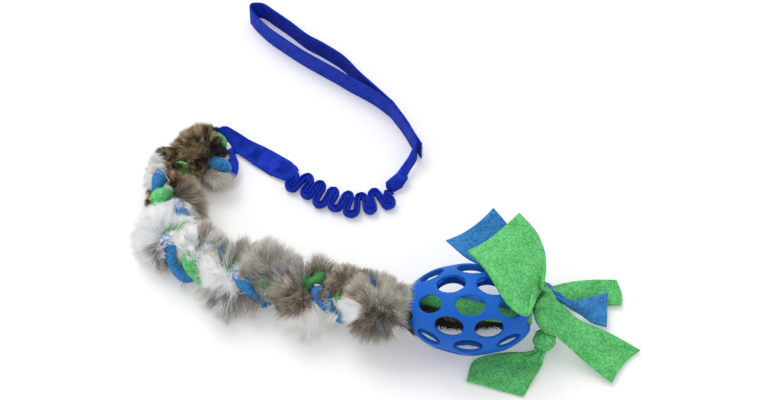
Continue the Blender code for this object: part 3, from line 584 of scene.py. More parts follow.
def sleeve(front, front_way, rear, rear_way):
    """The ruched sleeve: a tube of webbing drawn in on the elastic, creased along its top at every fold."""
    line = sleeve_line(front, front_way, rear, rear_way)
    count = 700
    s = np.linspace(0, line.length, count + 1)
    around = 44
    turn = circle(around)
    full = smoothstep(np.minimum(s / 0.016, (line.length - s) / 0.007))[:, None]
    flare = np.where(s < line.length / 2, 0.0092, 0.004)[:, None]
    pucker = (0.1 * np.sin(s / 0.0011) + 0.07 * np.sin(s / 0.00047 + 1.3))[:, None]
    crease = np.exp(-((np.cos(turn) / 0.3) ** 2)) * (np.sin(turn) > 0)
    wide = SLEEVE_HALF_WIDTH * full + flare * (1 - full)
    tall = SLEEVE_HALF_HEIGHT * full + 0.0009 * (1 - full)
    ripple = 1 + pucker * (0.35 + 0.65 * np.abs(np.sin(turn)))[None, :] * full
    x = np.sign(np.cos(turn)) * np.abs(np.cos(turn)) ** 0.85
    y = np.sign(np.sin(turn)) * np.abs(np.sin(turn)) ** 0.85
    height = tall * y[None, :] * ripple - 0.0046 * crease[None, :] * full
    centre = line.at(s)
    centre[:, 2] = tall[:, 0] * 1.02 + 0.0001
    side = line.side(s)
    rings = centre[:, None] + side[:, None] * (wide * x[None, :])[..., None]
    rings = rings + UP * np.maximum(height, -centre[:, 2:3] + 0.0001)[..., None]
    piece = sweep("ruched_sleeve", rings, WEBBING)
    inside = Route(line.at(np.linspace(0.014, line.length - 0.006, 240)), dense=4)
    core = sweep("elastic", tube_rings(inside, 0.0011, 500, 8), ELASTIC)
    blend_between(piece, "royal_blue_webbing", "tab", "bungee_end", front, rear, "bungee_sleeve")
    blend_between(core, "black_elastic", "tab", "bungee_end", front, rear, "elastic_core")


def tube_rings(line, radius, count, around):
    s = np.linspace(0, line.length, count + 1)
    return line.at(s)[:, None] + line.around(s, circle(around)) * radius


FLEX_GAP = 0.0008


def rear_flat(low, low_way, high, handle_way):
    """The plain end of the sleeve, which lies open, then turns up on edge and runs in along the handle."""
    low_side = np.array([-low_way[1], low_way[0], 0])
    keys = [
        (low - low_way * 0.002, low_side * 0.003, 0.004),
        (low + low_way * 0.003 + [0, 0, 0.003], (-0.008, -0.001, 0.003), 0.0055),
        (low + [0.005, 0.0075, 0.0062], (-0.0108, -0.004, 0.003), 0.007),
        ((0.0198, 0.025, 0.0085), (-0.004, 0.0006, 0.0036), 0.0055),
        ((0.0258, 0.035, 0.0098), (-0.0032, 0.0004, 0.004), 0.0048),
        ((0.0308, 0.043, 0.0115), (-0.0026, 0, 0.0056), 0.0034),
        (high + UPRIGHT, UPRIGHT, WEB_THICK),
    ]
    places = [place for place, _, _ in keys]
    line = Route(places)
    count = 110
    spread = keyed(line, places, [half for _, half, _ in keys], count)
    thickness = keyed(line, places, [[thick] for _, _, thick in keys], count)[:, 0]
    piece = cloth("sleeve_end", strip_grid(line.even(count), spread), thickness, WEBBING)
    start, end = high + handle_way * 0.014, high + handle_way * 0.001
    blend_between(piece, "royal_blue_webbing", "bungee_end", "handle", start, end, "rear_webbing")


BRAID_HEIGHT = 0.0232
BRAID_ROUTE = Route([
    (BIGHT_X, BIGHT_Y, BIGHT_TOP), (-0.18, BIGHT_Y, BIGHT_TOP), (-0.192, 0.0382, 0.026),
    (-0.2022, 0.028, 0.0228), (-0.2065, 0.012, 0.0203), (-0.208, -0.006, BRAID_HEIGHT),
    (-0.2085, -0.03, BRAID_HEIGHT), (-0.206, -0.056, BRAID_HEIGHT), (-0.194, -0.079, BRAID_HEIGHT),
    (-0.172, -0.094, BRAID_HEIGHT), (-0.14, -0.105, BRAID_HEIGHT), (-0.1, -0.118, BRAID_HEIGHT),
    (-0.0617, -0.127, BRAID_HEIGHT), (-0.037, -0.1325, 0.0245), (-0.014, -0.1385, 0.0315),
    BRAID_END - BALL_AXIS * 0.013 - [0, 0, 0.0035], BRAID_END - BALL_AXIS * 0.005, BRAID_END,
], dense=24)
BRAID_LENGTH = BRAID_ROUTE.length
BRAID_PERIOD = 0.0781
BRAID_HALF_WIDTH = 0.015
BRAID_HALF_HEIGHT = 0.0135
STRAND_PINCHED = 0.011
STRAND_FULL = 0.0166
NECK_STRAND_DIAMETER = 0.0132
NECK_PITCH_RADIUS = 0.008
NECK_START = BRAID_LENGTH - 0.03
NECK_TAPER = 0.018
NECK_STRAIGHT = 0.007
ROW_END = 0.04
FIRST_CROSSING = 0.028
FIRST_SQUEEZE = 0.22
FUR_SKIN_SHARE = 0.78
FUR_LOBE = 0.0085
INNER_LOBE_SHARE = 0.5
LOBE_SHARPNESS = 8
LOBE_FADE = 0.012
BEND_LENGTH = 0.04
BEND_AT = 0.172
BLUE_UP = BRAID_ROUTE.nearest((-0.093, -0.12, BRAID_HEIGHT))
ORDER = {"blue": 0, "green": 1, "fur": 2}
ROW = {"blue": 1, "fur": 0, "green": -1}
NECK_RISE = {"blue": -math.cos(math.radians(30)), "green": math.cos(math.radians(30)), "fur": 0.0}


def braid_phase(s, number):
    """The place of a strand in the plait, as an angle that runs along the braid between its two ends."""
    run = math.radians(45) + 2 * math.pi * (s - BLUE_UP) / BRAID_PERIOD
    return np.clip(run, math.radians(60 - 3 * 360), math.radians(150 + 360)) - number * 2 * math.pi / 3


def strand_at(colour, s, lobes=1.0):
    """Centres and radii of a strand, s along the braid, with its share of the fur's lobes."""
    s = np.asarray(s, float)
    phase = braid_phase(s, ORDER[colour])
    start = smoothstep(s / ROW_END)
    close = smoothstep((s - NECK_START) / (BRAID_LENGTH - NECK_START - NECK_STRAIGHT))
    turn = braid_phase(BRAID_LENGTH, ORDER[colour])
    side = BRAID_HALF_WIDTH * np.sin(phase) * start + ROW[colour] * ROW_PITCH * (1 - start)
    rise = BRAID_HALF_HEIGHT * (np.sin(2 * phase) + 0.15 * np.sin(4 * phase)) * start
    side = side * (1 - close) + NECK_PITCH_RADIUS * math.sin(turn) * close
    rise = rise * (1 - close) + NECK_PITCH_RADIUS * NECK_RISE[colour] * close
    full = STRAND_PINCHED + (STRAND_FULL - STRAND_PINCHED) * np.sin(2 * phase) ** 2
    if colour == "fur":
        full = full * FUR_SKIN_SHARE
    squeezed = 1 - FIRST_SQUEEZE * smoothstep(1 - np.abs(s - FIRST_CROSSING) / ROW_END)
    width = (EYE_STRAND_DIAMETER * (1 - start) + full * start) * squeezed
    neck = smoothstep((s - NECK_START + NECK_TAPER) / NECK_TAPER)
    radius = (width * (1 - neck) + NECK_STRAND_DIAMETER * neck) / 2
    centre = BRAID_ROUTE.at(s) + BRAID_ROUTE.side(s) * side[..., None] + BRAID_ROUTE.up(s) * rise[..., None]
    if colour == "fur":
        lobe, way = fur_lobe(s)
        lobe = lobe * lobes
        centre = centre + BRAID_ROUTE.side(s) * (lobe * way)[..., None]
        radius = radius + lobe
    centre[..., 2] = np.maximum(centre[..., 2], radius)
    return centre, radius


def fur_lobe(s):
    """How far the fur stands out where its strand turns at the edge of the plait, and to which side."""
    turn = np.sin(braid_phase(s, ORDER["fur"]))
    fade = smoothstep((s - ROW_END * 0.6) / 0.015) * smoothstep((NECK_START - NECK_TAPER / 2 - s) / LOBE_FADE)
    size = np.where(turn < 0, FUR_LOBE, FUR_LOBE * INNER_LOBE_SHARE)
    return size * np.abs(turn) ** LOBE_SHARPNESS * fade, np.sign(turn)


BIGHT_REACH = {"blue": 0.0055, "green": 0.0, "fur": 0.0025}


def bight(colour):
    """The fold of a strand over the eye, from the end of its lower leg up to the start of the braid."""
    start, radius = strand_at(colour, np.array([0.0]))
    y = start[0, 1]
    bend = (BIGHT_TOP - BIGHT_LOW) / 2
    lead = [(BIGHT_X - LOW_LEG * (1 - i / 6), y, BIGHT_LOW) for i in range(6)]
    turn = np.pi * np.arange(17) / 16
    wide = bend + BIGHT_REACH[colour]
    fold = [(BIGHT_X + wide * math.sin(t), y, BIGHT_MIDDLE - bend * math.cos(t)) for t in turn]
    return np.array(lead + fold), radius[0]


def rolled(points, radii, around, seed):
    """Rings of a rolled fleece strip: round, with soft dents and the edge of the roll as a shallow groove."""
    line = Route(points, dense=4)
    s = lengths_along(points)
    s = s * line.length / s[-1]
    turn = circle(around)
    groove = turn[None, :] - (0.9 + seed) - 1.6 * s[:, None] / 0.12
    dent = 0.05 * np.cos(groove) ** 8 * (np.cos(groove) > 0)
    soft = 0.03 * np.sin(3 * turn[None, :] + s[:, None] / 0.009 + seed) + 0.022 * np.sin(
        2 * turn[None, :] - s[:, None] / 0.0053 + 2 * seed)
    radius = radii[:, None] * (1 - dent + soft)
    rings = points[:, None] + line.around(s, turn) * radius[..., None]
    rings[..., 2] = np.maximum(rings[..., 2], FLOOR_GAP)
    return rings


BEND_START = BEND_AT - BEND_LENGTH / 2
BEND_END = BEND_AT + BEND_LENGTH / 2
BEND = ("braid_front", "braid_rear", BRAID_ROUTE.at(BEND_START), BRAID_ROUTE.at(BEND_END))
BALL_SWING = ("braid_rear", "ball", BRAID_END, BRAID_END + BALL_AXIS * 0.016)


def strand(name, colour, points, radii, around, *bend_and_nodes):
    """One rolled strip; under the fur it is the skin that bears the hairs."""
    mat, slot = STRIPS[colour]
    piece = sweep(name, rolled(points, radii, around, ORDER[colour]), mat)
    if colour == "fur":
        skin_map(piece)
    blend_between(piece, slot, *bend_and_nodes)


def braid_strands():
    """The three strips from their fold over the eye to the ball."""
    s = np.linspace(0, BRAID_LENGTH, 340)
    for colour in STRIPS:
        fold, fold_radius = bight(colour)
        centre, radius = strand_at(colour, s, HIDE_LOBES)
        radii = np.concatenate([np.full(len(fold), fold_radius), radius[2:]])
        nodes = [f"{colour}_strand_{part}" for part in ("front", "bend", "rear")]
        strand(f"{colour}_strip", colour, np.vstack([fold, centre[2:]]), radii, 24, *BEND, *nodes)


def skin_map(piece):
    """Gives the hide under the fur the dark roots of the coat that grows on it."""
    mesh = piece.data
    corners = corner_vertices(mesh)
    places = np.zeros(len(mesh.vertices) * 3)
    mesh.vertices.foreach_get("co", places)
    coat, _, _ = coats_at(places.reshape(-1, 3) - SHIFT, 0.0)
    column = (coat[corners] * len(SHADES) + 0.5) / COLUMNS
    add_map(mesh, "OFBake", np.stack([column, np.full(len(corners), HIDE_TONE)], axis=-1))


IN_BALL = NECK_RUN + 2 * MOUTH_AT + 0.0007
IN_BALL_TURN = math.radians(100)
IN_BALL_HAIRS = 12000


def strip_in_ball(colour, s):
    """The middle of a strip on its way through the ball, s from the end of the braid."""
    side = np.array([-BALL_AXIS[1], BALL_AXIS[0], 0])
    begin = math.atan2(NECK_RISE[colour], math.sin(braid_phase(BRAID_LENGTH, ORDER[colour])))
    angle = begin + IN_BALL_TURN * smoothstep((s - 0.012) / (IN_BALL - 0.024))
    points = BRAID_END + BALL_AXIS * s[:, None] + side * NECK_PITCH_RADIUS * np.cos(angle)[:, None]
    return points + UP * NECK_PITCH_RADIUS * np.sin(angle)[:, None]


def ball_strips():
    """The three strips in the ball, from the end of the braid to the knots, with short dark fur on one."""
    s = np.linspace(0.0004, IN_BALL, 91)
    slack = 1 + 0.25 * np.sin(np.pi * s / IN_BALL) ** 2
    radii = NECK_STRAND_DIAMETER / 2 * 0.98 * slack
    for colour in STRIPS:
        strand(f"{colour}_strip_in_ball", colour, strip_in_ball(colour, s), radii, 20,
               *BALL_SWING, f"{colour}_strand_in_ball")
    hairs = IN_BALL_HAIRS
    s = random.uniform(NECK_RUN * 0.2, IN_BALL - 0.004, hairs)
    theta = random.uniform(0, 2 * np.pi, hairs)
    normal = np.cross(UP, BALL_AXIS) * np.cos(theta)[:, None] + UP * np.sin(theta)[:, None]
    root = strip_in_ball("fur", s) + normal * NECK_STRAND_DIAMETER * 0.48
    way = unit(normal + random.normal(0, 0.5, (hairs, 3)) + BALL_AXIS * 0.5)
    half = random.uniform(0.003, 0.01, hairs)[:, None] * 0.5
    middle = root + way * half
    tip = middle + unit(way + random.normal(0, 0.45, (hairs, 3))) * half
    piece = hair_mesh("fur_in_ball", root, middle, tip, np.full(hairs, 0.0006), columns_of("black", hairs))
    blend_between(piece, "rabbit_fur", *BALL_SWING)


BALL_VOXEL = 0.0008
HOLES_ROUND = 6
HOLE_RING_PITCH = 0.01925
HOLE_TURN = math.radians(27)
HOLE_RINGS = ((0, 0.028, 0.0195), (1, 0.028, 0.0195), (2, 0.025, 0.017), (3, 0.011, 0.01))


def ball():
    """The lattice ball: a turned shell, cut by rings of oval holes, with every rim rounded as if moulded."""
    half_length = BALL_LENGTH / 2
    radius = BALL_DIAMETER / 2
    reach = math.acos(BALL_MOUTH_RADIUS / radius)
    angle = reach * np.linspace(-1, 1, 61)
    outside = np.stack([half_length * np.sin(angle), radius * np.cos(angle)], axis=-1)
    normal = unit(np.stack([np.sin(angle) / half_length, np.cos(angle) / radius], axis=-1))
    profile = np.vstack([outside, (outside - BALL_WALL * normal)[::-1]])
    around = 120
    turn = circle(around)
    points = np.stack([
        np.repeat(profile[:, :1], around, axis=1),
        profile[:, 1:] * np.cos(turn)[None, :],
        profile[:, 1:] * np.sin(turn)[None, :],
    ], axis=-1)
    index = np.arange(len(profile) * around).reshape(-1, around)
    mesh = bpy.data.meshes.new("ball_shell")
    mesh.from_pydata(points.reshape(-1, 3).tolist(), [], quads(np.pad(index, (0, 1), mode="wrap")).tolist())
    shell = new_object("lattice_ball", mesh)
    cutter = hole_cutter(half_length, radius)
    cut = shell.modifiers.new("holes", "BOOLEAN")
    cut.object = cutter
    cut.operation = "DIFFERENCE"
    remesh = shell.modifiers.new("moulded", "REMESH")
    remesh.mode = "VOXEL"
    remesh.voxel_size = BALL_VOXEL
    rounding = shell.modifiers.new("rims", "SMOOTH")
    rounding.factor = 0.5
    rounding.iterations = 9
    bpy.context.view_layer.update()
    made = bpy.data.meshes.new_from_object(shell.evaluated_get(bpy.context.evaluated_depsgraph_get()))
    bpy.data.objects.remove(cutter, do_unlink=True)
    shell.modifiers.clear()
    shell.data = made
    made.transform(Matrix.Translation(Vector(BALL_PLACE + SHIFT)) @ Matrix.Rotation(BALL_YAW, 4, "Z"))
    made.materials.clear()
    made.materials.append(RUBBER)
    made.shade_smooth()
    place_on(shell, "blue_rubber", "ball", "ball")


def hole_cutter(half_length, radius):
    """Oval pegs in rings, every other ring turned by half a step."""
    shape = bmesh.new()
    for number, length, width in HOLE_RINGS:
        for end in ((1, -1) if number else (1,)):
            x = end * number * HOLE_RING_PITCH
            r = radius * math.sqrt(1 - (x / half_length) ** 2)
            normal = Vector((x / half_length**2, r / radius**2)).normalized()
            for i in range(HOLES_ROUND):
                turn = HOLE_TURN + 2 * math.pi * (i + 0.5 * (number % 2)) / HOLES_ROUND
                spin = Matrix.Rotation(turn, 4, "X")
                tilt = Matrix.Rotation(math.atan2(normal.x, normal.y), 4, "Y")
                place = Matrix.Translation((x, 0, r))
                oval = Matrix.Diagonal((length / 2, width / 2, 1, 1))
                bmesh.ops.create_cone(
                    shape, cap_ends=True, segments=40, radius1=1, radius2=1, depth=4 * BALL_WALL,
                    matrix=spin @ place @ tilt @ oval,
                )
    mesh = bpy.data.meshes.new("hole_cutter")
    shape.to_mesh(mesh)
    shape.free()
    return new_object("hole_cutter", mesh)


KNOT_SIZES = {
    "upper_knot": np.array([0.0112, 0.0195, 0.0115]),
    "lower_knot": np.array([0.0108, 0.0104, 0.0104]),
    "blue_knot": np.array([0.01, 0.01, 0.01]),
}
KNOT_TILT = {"upper_knot": math.radians(35), "lower_knot": 0.0, "blue_knot": 0.0}
KNOT_WRAP = 0.03
KNOT_STAND_OFF = 0.001


def by_ball(x, y, height):
    """A place east and north of the ball's right mouth, with its height as a share of the ball's."""
    return np.array([BALL_RIGHT[0] + x, BALL_RIGHT[1] + y, height * BALL_DIAMETER])


def wrap(direction):
    """How far three soft wraps of cloth raise a knot, in a direction from its middle."""
    turn = np.arctan2(direction[..., 1], direction[..., 0])
    return 1 + KNOT_WRAP * np.sin(3 * turn + 4 * direction[..., 2])


def tilt_back(name, way):
    c, s = math.cos(-KNOT_TILT[name]), math.sin(-KNOT_TILT[name])
    return np.array([way[0], c * way[1] - s * way[2], s * way[1] + c * way[2]])


def knot_reach(name, way):
    """The distance from a knot's middle to its surface."""
    direction = unit(tilt_back(name, unit(way)) / KNOT_SIZES[name])
    return float(np.linalg.norm(direction * KNOT_SIZES[name]) * wrap(direction))


def beside(name, other, way):
    """The middle of a knot that lies against another one."""
    way = unit(way)
    return KNOT_PLACES[other] + way * (knot_reach(other, way) + GAP + knot_reach(name, -way))


KNOT_PLACES = {
    "upper_knot": by_ball(KNOT_SIZES["upper_knot"][0] * (1 + KNOT_WRAP) + KNOT_STAND_OFF, 0.0065, 0.48),
}
KNOT_PLACES["lower_knot"] = beside("lower_knot", "upper_knot", (0.02, -0.76, -0.65))
KNOT_PLACES["blue_knot"] = beside("blue_knot", "upper_knot", (0.0, 0.93, -0.3))


def knot(name, colour):
    """A knot pulled tight: its cloth lies in wraps, with a deep crease between each two."""
    rows, columns = 60, 96
    down = np.pi * (np.arange(rows) + 0.5) / rows
    turn = circle(columns)
    direction = np.stack([
        np.sin(down)[:, None] * np.cos(turn)[None, :],
        np.sin(down)[:, None] * np.sin(turn)[None, :],
        np.repeat(np.cos(down)[:, None], columns, axis=1),
    ], axis=-1)
    lie = direction[..., 0] * 0.75 + direction[..., 2] * 0.65
    band = lie * 4.2 + 0.9 * np.sin(2 * np.arctan2(direction[..., 1], direction[..., 0]))
    crease = np.exp(-((np.sin(band) / 0.3) ** 2))
    fold = 1 - 0.16 * crease + 0.03 * np.sin(7 * direction[..., 1] + 5 * direction[..., 0])
    points = direction * KNOT_SIZES[name] * (wrap(direction) * fold * 1.03)[..., None]
    c, s = math.cos(KNOT_TILT[name]), math.sin(KNOT_TILT[name])
    points = points @ np.array([[1, 0, 0], [0, c, s], [0, -s, c]])
    mat, slot = STRIPS[colour]
    place_on(sweep(name + "_wraps", points + KNOT_PLACES[name], mat), slot, "ball", name)


TAIL_BEND = 0.012


def tail(name, knot_name, way, neck_half, left, right, bow, seat, pleats=2.5, over=None, scoop=None,
         hollow_end=0.0):
    """A fleece strip from its neck at a knot to its cut end: pleated where it is tied, and open at the end.

    One that crosses over its knot has its two edges' points there instead of a neck. A scoop hollows its
    start.
    """
    way = unit(way)
    mat, slot = STRIPS[name.split("_")[0]]
    root = KNOT_PLACES[knot_name] + way * knot_reach(knot_name, way)
    neck = root + way * seat - way * 0.003
    neck_half = np.array(neck_half)
    lead = neck + way * 0.01
    starts = [(neck - neck_half, lead - neck_half), (neck + neck_half, lead + neck_half)]
    if over:
        starts = [[by_ball(*p) for p in edge] for edge in over]
    left = Route([*starts[0], *[by_ball(*p) for p in left]])
    right = Route([*starts[1], *[by_ball(*p) for p in right]])
    rows, columns = 90, 41
    a, b = left.even(rows), right.even(rows)
    t = np.linspace(0, 1, rows + 1)
    arch = np.sin(np.pi * np.minimum(1, t * 1.2) ** 0.8)[:, None, None]
    u = edge_columns(columns)[None, :, None]
    grid = (a + b)[:, None] / 2 + (b - a)[:, None] / 2 * u + np.array(bow) * arch * (1 - u * u)
    if scoop is not None:
        hollow = np.exp(-(((t - 0.22) / 0.15) ** 2))[:, None, None] * (0.15 - u * u)
        grid = grid + np.array(scoop) * hollow
    end_way = unit((a + b)[-1] - (a + b)[-4])
    grid = grid - end_way * hollow_end * (t**5)[:, None, None] * (1 - u * u)
    normals = grid_normals(grid)
    gather = np.exp(-(t / 0.22) ** 2)[:, None] * smoothstep(t / 0.05)[:, None]
    pleat = np.sin(np.pi * pleats * u[..., 0] + 1.1) * 0.0032 * gather
    roll = 0.0012 * np.sin(9 * t[:, None] + 2.5 * u[..., 0]) * smoothstep(t / 0.3)[:, None]
    grid = grid + normals * (pleat + roll)[..., None]
    grid = clear_of_ball(grid.reshape(-1, 3), FLEECE_THICK / 2 + 0.0008).reshape(grid.shape)
    grid[..., 2] = np.maximum(grid[..., 2], FLEECE_THICK / 2 + 0.0003)
    piece = cloth(name + "_strip", grid, FLEECE_THICK, mat, lumps=0.0004)
    blend_between(piece, slot, "ball", name, root, root + way * TAIL_BEND, name)


# the two edges of the long green strip where it crosses over the front of the upper knot
LONG_TAIL_OVER_KNOT = (
    [(0.003, 0.004, 0.6), (0.011, 0.0095, 0.69), (0.02, 0.009, 0.65), (0.03, 0.006, 0.55)],
    [(0.003, -0.0015, 0.53), (0.007, -0.012, 0.44), (0.014, -0.0165, 0.39), (0.023, -0.018, 0.36)],
)


def knots_and_tails():
    knot("upper_knot", "green")
    knot("lower_knot", "green")
    knot("blue_knot", "blue")
    tail(
        "green_tail_top", "upper_knot", (-0.2, 0.45, 0.86), (0.006, 0.0035, -0.001),
        [(-0.0035, -0.015, 0.78), (-0.0235, -0.015, 0.94), (-0.045, 0.0185, 1.01), (-0.061, 0.048, 0.89)],
        [(0.0135, 0.018, 0.72), (0.0145, 0.037, 0.82), (0.0075, 0.062, 0.94), (-0.011, 0.087, 0.955)],
        (0, 0.002, 0), 0.0019, pleats=1.5, scoop=(0.003, 0.012, -0.013),
        hollow_end=0.0035,
    )
    tail(
        "blue_tail_back", "blue_knot", (-0.6, 0.55, 0.58), (0.004, 0.004, 0),
        [(-0.023, 0.05, 0.5), (-0.056, 0.057, 0.525), (-0.0805, 0.079, 0.57)],
        [(0.0, 0.064, 0.5), (-0.014, 0.086, 0.6), (-0.034, 0.109, 0.7)],
        (0, 0, -0.003), 0.0008, hollow_end=0.004,
    )
    tail(
        "green_tail_long", "upper_knot", (0.95, -0.1, -0.3), (-0.003, -0.01, -0.008),
        [(0.047, 0.002, 0.33), (0.08, -0.008, 0.17), (0.1065, -0.0165, 0.03)],
        [(0.03, -0.022, 0.3), (0.054, -0.038, 0.15), (0.0765, -0.0535, 0.03)],
        (0, 0, 0.003), 0.0013, pleats=2.0, over=LONG_TAIL_OVER_KNOT,
        hollow_end=0.0035,
    )
    tail(
        "blue_tail_right", "blue_knot", (0.9, -0.15, -0.35), (0.0005, -0.004, -0.001),
        [(0.04, 0.0245, 0.3), (0.062, 0.035, 0.2), (0.078, 0.045, 0.13)],
        [(0.042, 0.02, 0.2), (0.06, 0.012, 0.09), (0.0745, 0.008, 0.05)],
        (0, 0, 0.002), 0.0015,
    )
    tail(
        "green_tail_back", "blue_knot", (0.25, 0.3, -0.9), (0.003, -0.0035, 0),
        [(0.018, 0.044, 0.21), (0.04, 0.056, 0.13), (0.087, 0.062, 0.07)],
        [(0.025, 0.03, 0.15), (0.044, 0.033, 0.07), (0.09, 0.034, 0.03)],
        (0, 0, 0.001), 0.0006, hollow_end=-0.003,
    )
    tail(
        "green_tail_low", "lower_knot", (-0.35, -0.45, -0.82), (0.005, -0.003, 0),
        [(-0.024, -0.021, 0.04), (-0.053, -0.027, 0.03), (-0.062, -0.051, 0.022)],
        [(0.011, -0.034, 0.05), (0.002, -0.05, 0.035), (-0.008, -0.0675, 0.022)],
        (0, 0, 0.001), 0.0003,
    )


# where each coat lies on the toy: the middle of the clump and its reach, across and up the camera's view,
# and how much of it is a second coat
CLUMPS = [
    ("agouti", (-0.184, 0.047), 0.026, "black", 0.35),
    # the two black clumps by the eye are partly black fur and partly painted shade, for the dark hollow at
    # the eye
    ("black", (-0.167, 0.05), 0.012, "black", 0.0),
    ("black", (-0.178, 0.041), 0.012, "agouti", 0.3),
    ("cream", (-0.157, 0.028), 0.015, "tan", 0.55),
    ("brown", (-0.185, 0.01), 0.013, "tan", 0.3),
    ("agouti", (-0.232, 0.0), 0.007, "brown", 0.3),
    ("cream", (-0.23, 0.03), 0.012, "white", 0.5),
    ("white", (-0.217, -0.022), 0.023, "white", 0.0),
    ("white", (-0.192, -0.02), 0.016, "grey", 0.2),
    ("tan", (-0.168, -0.012), 0.018, "brown", 0.45),
    ("grey", (-0.157, -0.04), 0.013, "cream", 0.4),
    ("slate", (-0.219, -0.05), 0.01, "white", 0.45),
    ("slate", (-0.214, -0.063), 0.01, "grey", 0.35),
    ("cream", (-0.232, -0.077), 0.02, "white", 0.5),
    ("white", (-0.154, -0.07), 0.018, "white", 0.0),
    ("slate", (-0.16, -0.095), 0.011, "white", 0.4),
    ("cream", (-0.177, -0.106), 0.014, "grey", 0.3),
    ("grey", (-0.117, -0.058), 0.027, "tan", 0.4),
    ("slate", (-0.096, -0.065), 0.008, "black", 0.35),
    ("brown", (-0.087, -0.1), 0.015, "tan", 0.45),
    ("cream", (-0.082, -0.134), 0.025, "white", 0.5),
    ("white", (-0.037, -0.102), 0.01, "white", 0.0),
    ("brown", (-0.037, -0.074), 0.019, "tan", 0.45),
    ("tan", (0.013, -0.082), 0.02, "grey", 0.5),
    ("brown", (-0.002, -0.126), 0.018, "slate", 0.45),
    ("black", (0.036, -0.128), 0.01, "black", 0.0),
]


def in_view(points):
    """Where points lie across and up the camera's view."""
    up = points[:, 1] * math.sin(CAMERA_ELEVATION) + points[:, 2] * math.cos(CAMERA_ELEVATION)
    return np.stack([points[:, 0], up], axis=-1)


def coats_at(places, blur=0.1):
    """For each place, the number of its coat: that of the clump that lies nearest for its reach."""
    names = list(COATS)
    middle = np.array([clump[1] for clump in CLUMPS])
    reach = np.array([clump[2] for clump in CLUMPS])
    apart = np.linalg.norm(in_view(places)[:, None] - middle[None], axis=2) / reach[None]
    apart = apart + random.normal(0, 1, apart.shape) * blur
    chosen = apart.argmin(1)
    first = np.array([names.index(clump[0]) for clump in CLUMPS])[chosen]
    second = np.array([names.index(clump[3]) for clump in CLUMPS])[chosen]
    share = np.array([clump[4] for clump in CLUMPS])[chosen]
    return first, second, share


def follow_leaders(root, middle, tip, every, draw):
    """Draws hairs together into tufts: each hair leans towards the leading hair nearest to it."""
    leaders = np.arange(0, len(root), every)
    tree = KDTree(len(leaders))
    for number, leader in enumerate(leaders):
        tree.insert(root[leader], number)
    tree.balance()
    lead = leaders[np.array([tree.find(point)[1] for point in root])]
    pull = (draw * random.uniform(0.45, 1.0, len(root)))[:, None]
    apart = root - root[lead]
    middle = middle + (middle[lead] + apart * 0.7 - middle) * pull * 0.5
    tip = tip + (tip[lead] + apart * 0.3 - tip) * pull
    return middle, tip, lead


def lift_off(points, colour, stand_off):
    """Moves points that lie inside the blue or the green strand to just outside it, and says how far down."""
    s = np.linspace(0, BRAID_LENGTH, 360)
    centre, radius = strand_at(colour, s)
    lifted = points.copy()
    below = np.zeros(len(points), bool)
    for start in range(0, len(points), 8000):
        here = slice(start, start + 8000)
        apart = np.linalg.norm(points[here, None] - centre[None], axis=2) - radius[None]
        near = apart.argmin(1)
        gap = apart[np.arange(len(near)), near]
        way = unit(points[here] - centre[near])
        out = centre[near] + way * (radius[near] + stand_off[here])[:, None]
        lifted[here] = np.where((gap < stand_off[here])[:, None], out, points[here])
        below[here] = (gap < 0) & (way[:, 2] < -0.1)
    return lifted, below


# the stretches of fleece that the fur leaves bare: middle and half size, across and up the camera's view
BARE = [
    (-0.222, 0.017, 0.012, 0.009), (-0.218, 0.004, 0.013, 0.006), (-0.197, -0.063, 0.01, 0.016),
    (-0.163, -0.06, 0.012, 0.007), (-0.183, -0.075, 0.007, 0.014), (-0.134, -0.092, 0.008, 0.016),
    (-0.11, -0.105, 0.008, 0.008), (-0.093, -0.082, 0.013, 0.01), (-0.065, -0.081, 0.009, 0.007),
    (-0.063, -0.108, 0.009, 0.014), (-0.016, -0.095, 0.014, 0.014), (-0.035, -0.117, 0.009, 0.009),
    (0.02, -0.128, 0.01, 0.009), (-0.166, 0.06, 0.011, 0.009),
    (-0.16, 0.037, 0.01, 0.01),
]


def over_bare(points):
    """Which points the camera sees in front of fleece that shows."""
    across, up = in_view(points).T
    found = np.zeros(len(points), bool)
    for x, y, half_x, half_y in BARE:
        found |= ((across - x) / half_x) ** 2 + ((up - y) / half_y) ** 2 < 1
    return found


# a hair's faces: three sides from its foot (0, 1, 2) to its waist (3, 4, 5), and three on to its point (6)
HAIR_CORNERS = np.array([0, 1, 4, 3, 1, 2, 5, 4, 2, 0, 3, 5, 3, 4, 6, 4, 5, 6, 5, 3, 6])


def hair_mesh(name, root, middle, tip, width, column):
    """One mesh of three-sided hairs: each has a foot, a waist and a point."""
    count = len(root)
    way = unit(tip - root)
    aside = unit(np.cross(way, random.normal(size=(count, 3))))
    above = np.cross(way, aside)
    points = np.zeros((count, 7, 3))
    for corner in range(3):
        turn = 2 * math.pi * corner / 3
        out = aside * math.cos(turn) + above * math.sin(turn)
        points[:, corner] = root + out * width[:, None] * 0.5
        points[:, 3 + corner] = middle + out * width[:, None] * 0.42
    points[:, 6] = tip
    corners = ((np.arange(count) * 7)[:, None] + HAIR_CORNERS).ravel()
    mesh = bpy.data.meshes.new(name)
    mesh.vertices.add(count * 7)
    mesh.vertices.foreach_set("co", (points + SHIFT).astype(np.float32).ravel())
    mesh.loops.add(corners.size)
    mesh.loops.foreach_set("vertex_index", corners.astype(np.int32))
    mesh.polygons.add(count * 6)
    ends = np.cumsum(np.tile([4, 4, 4, 3, 3, 3], count))
    mesh.polygons.foreach_set("loop_start", np.concatenate([[0], ends[:-1]]).astype(np.int32))
    mesh.update(calc_edges=True)
    across = (column[:, None] + np.array([[0.25, 0.5, 0.75, 0.25, 0.5, 0.75, 0.5]])) / COLUMNS
    height = np.tile([0.02, 0.02, 0.02, 0.5, 0.5, 0.5, 0.98], (count, 1))
    add_map(mesh, "OFBake", np.stack([across, height], axis=-1).reshape(-1, 2)[corners])
    mesh.materials.append(FUR)
    mesh.shade_smooth()
    return new_object(name, mesh)


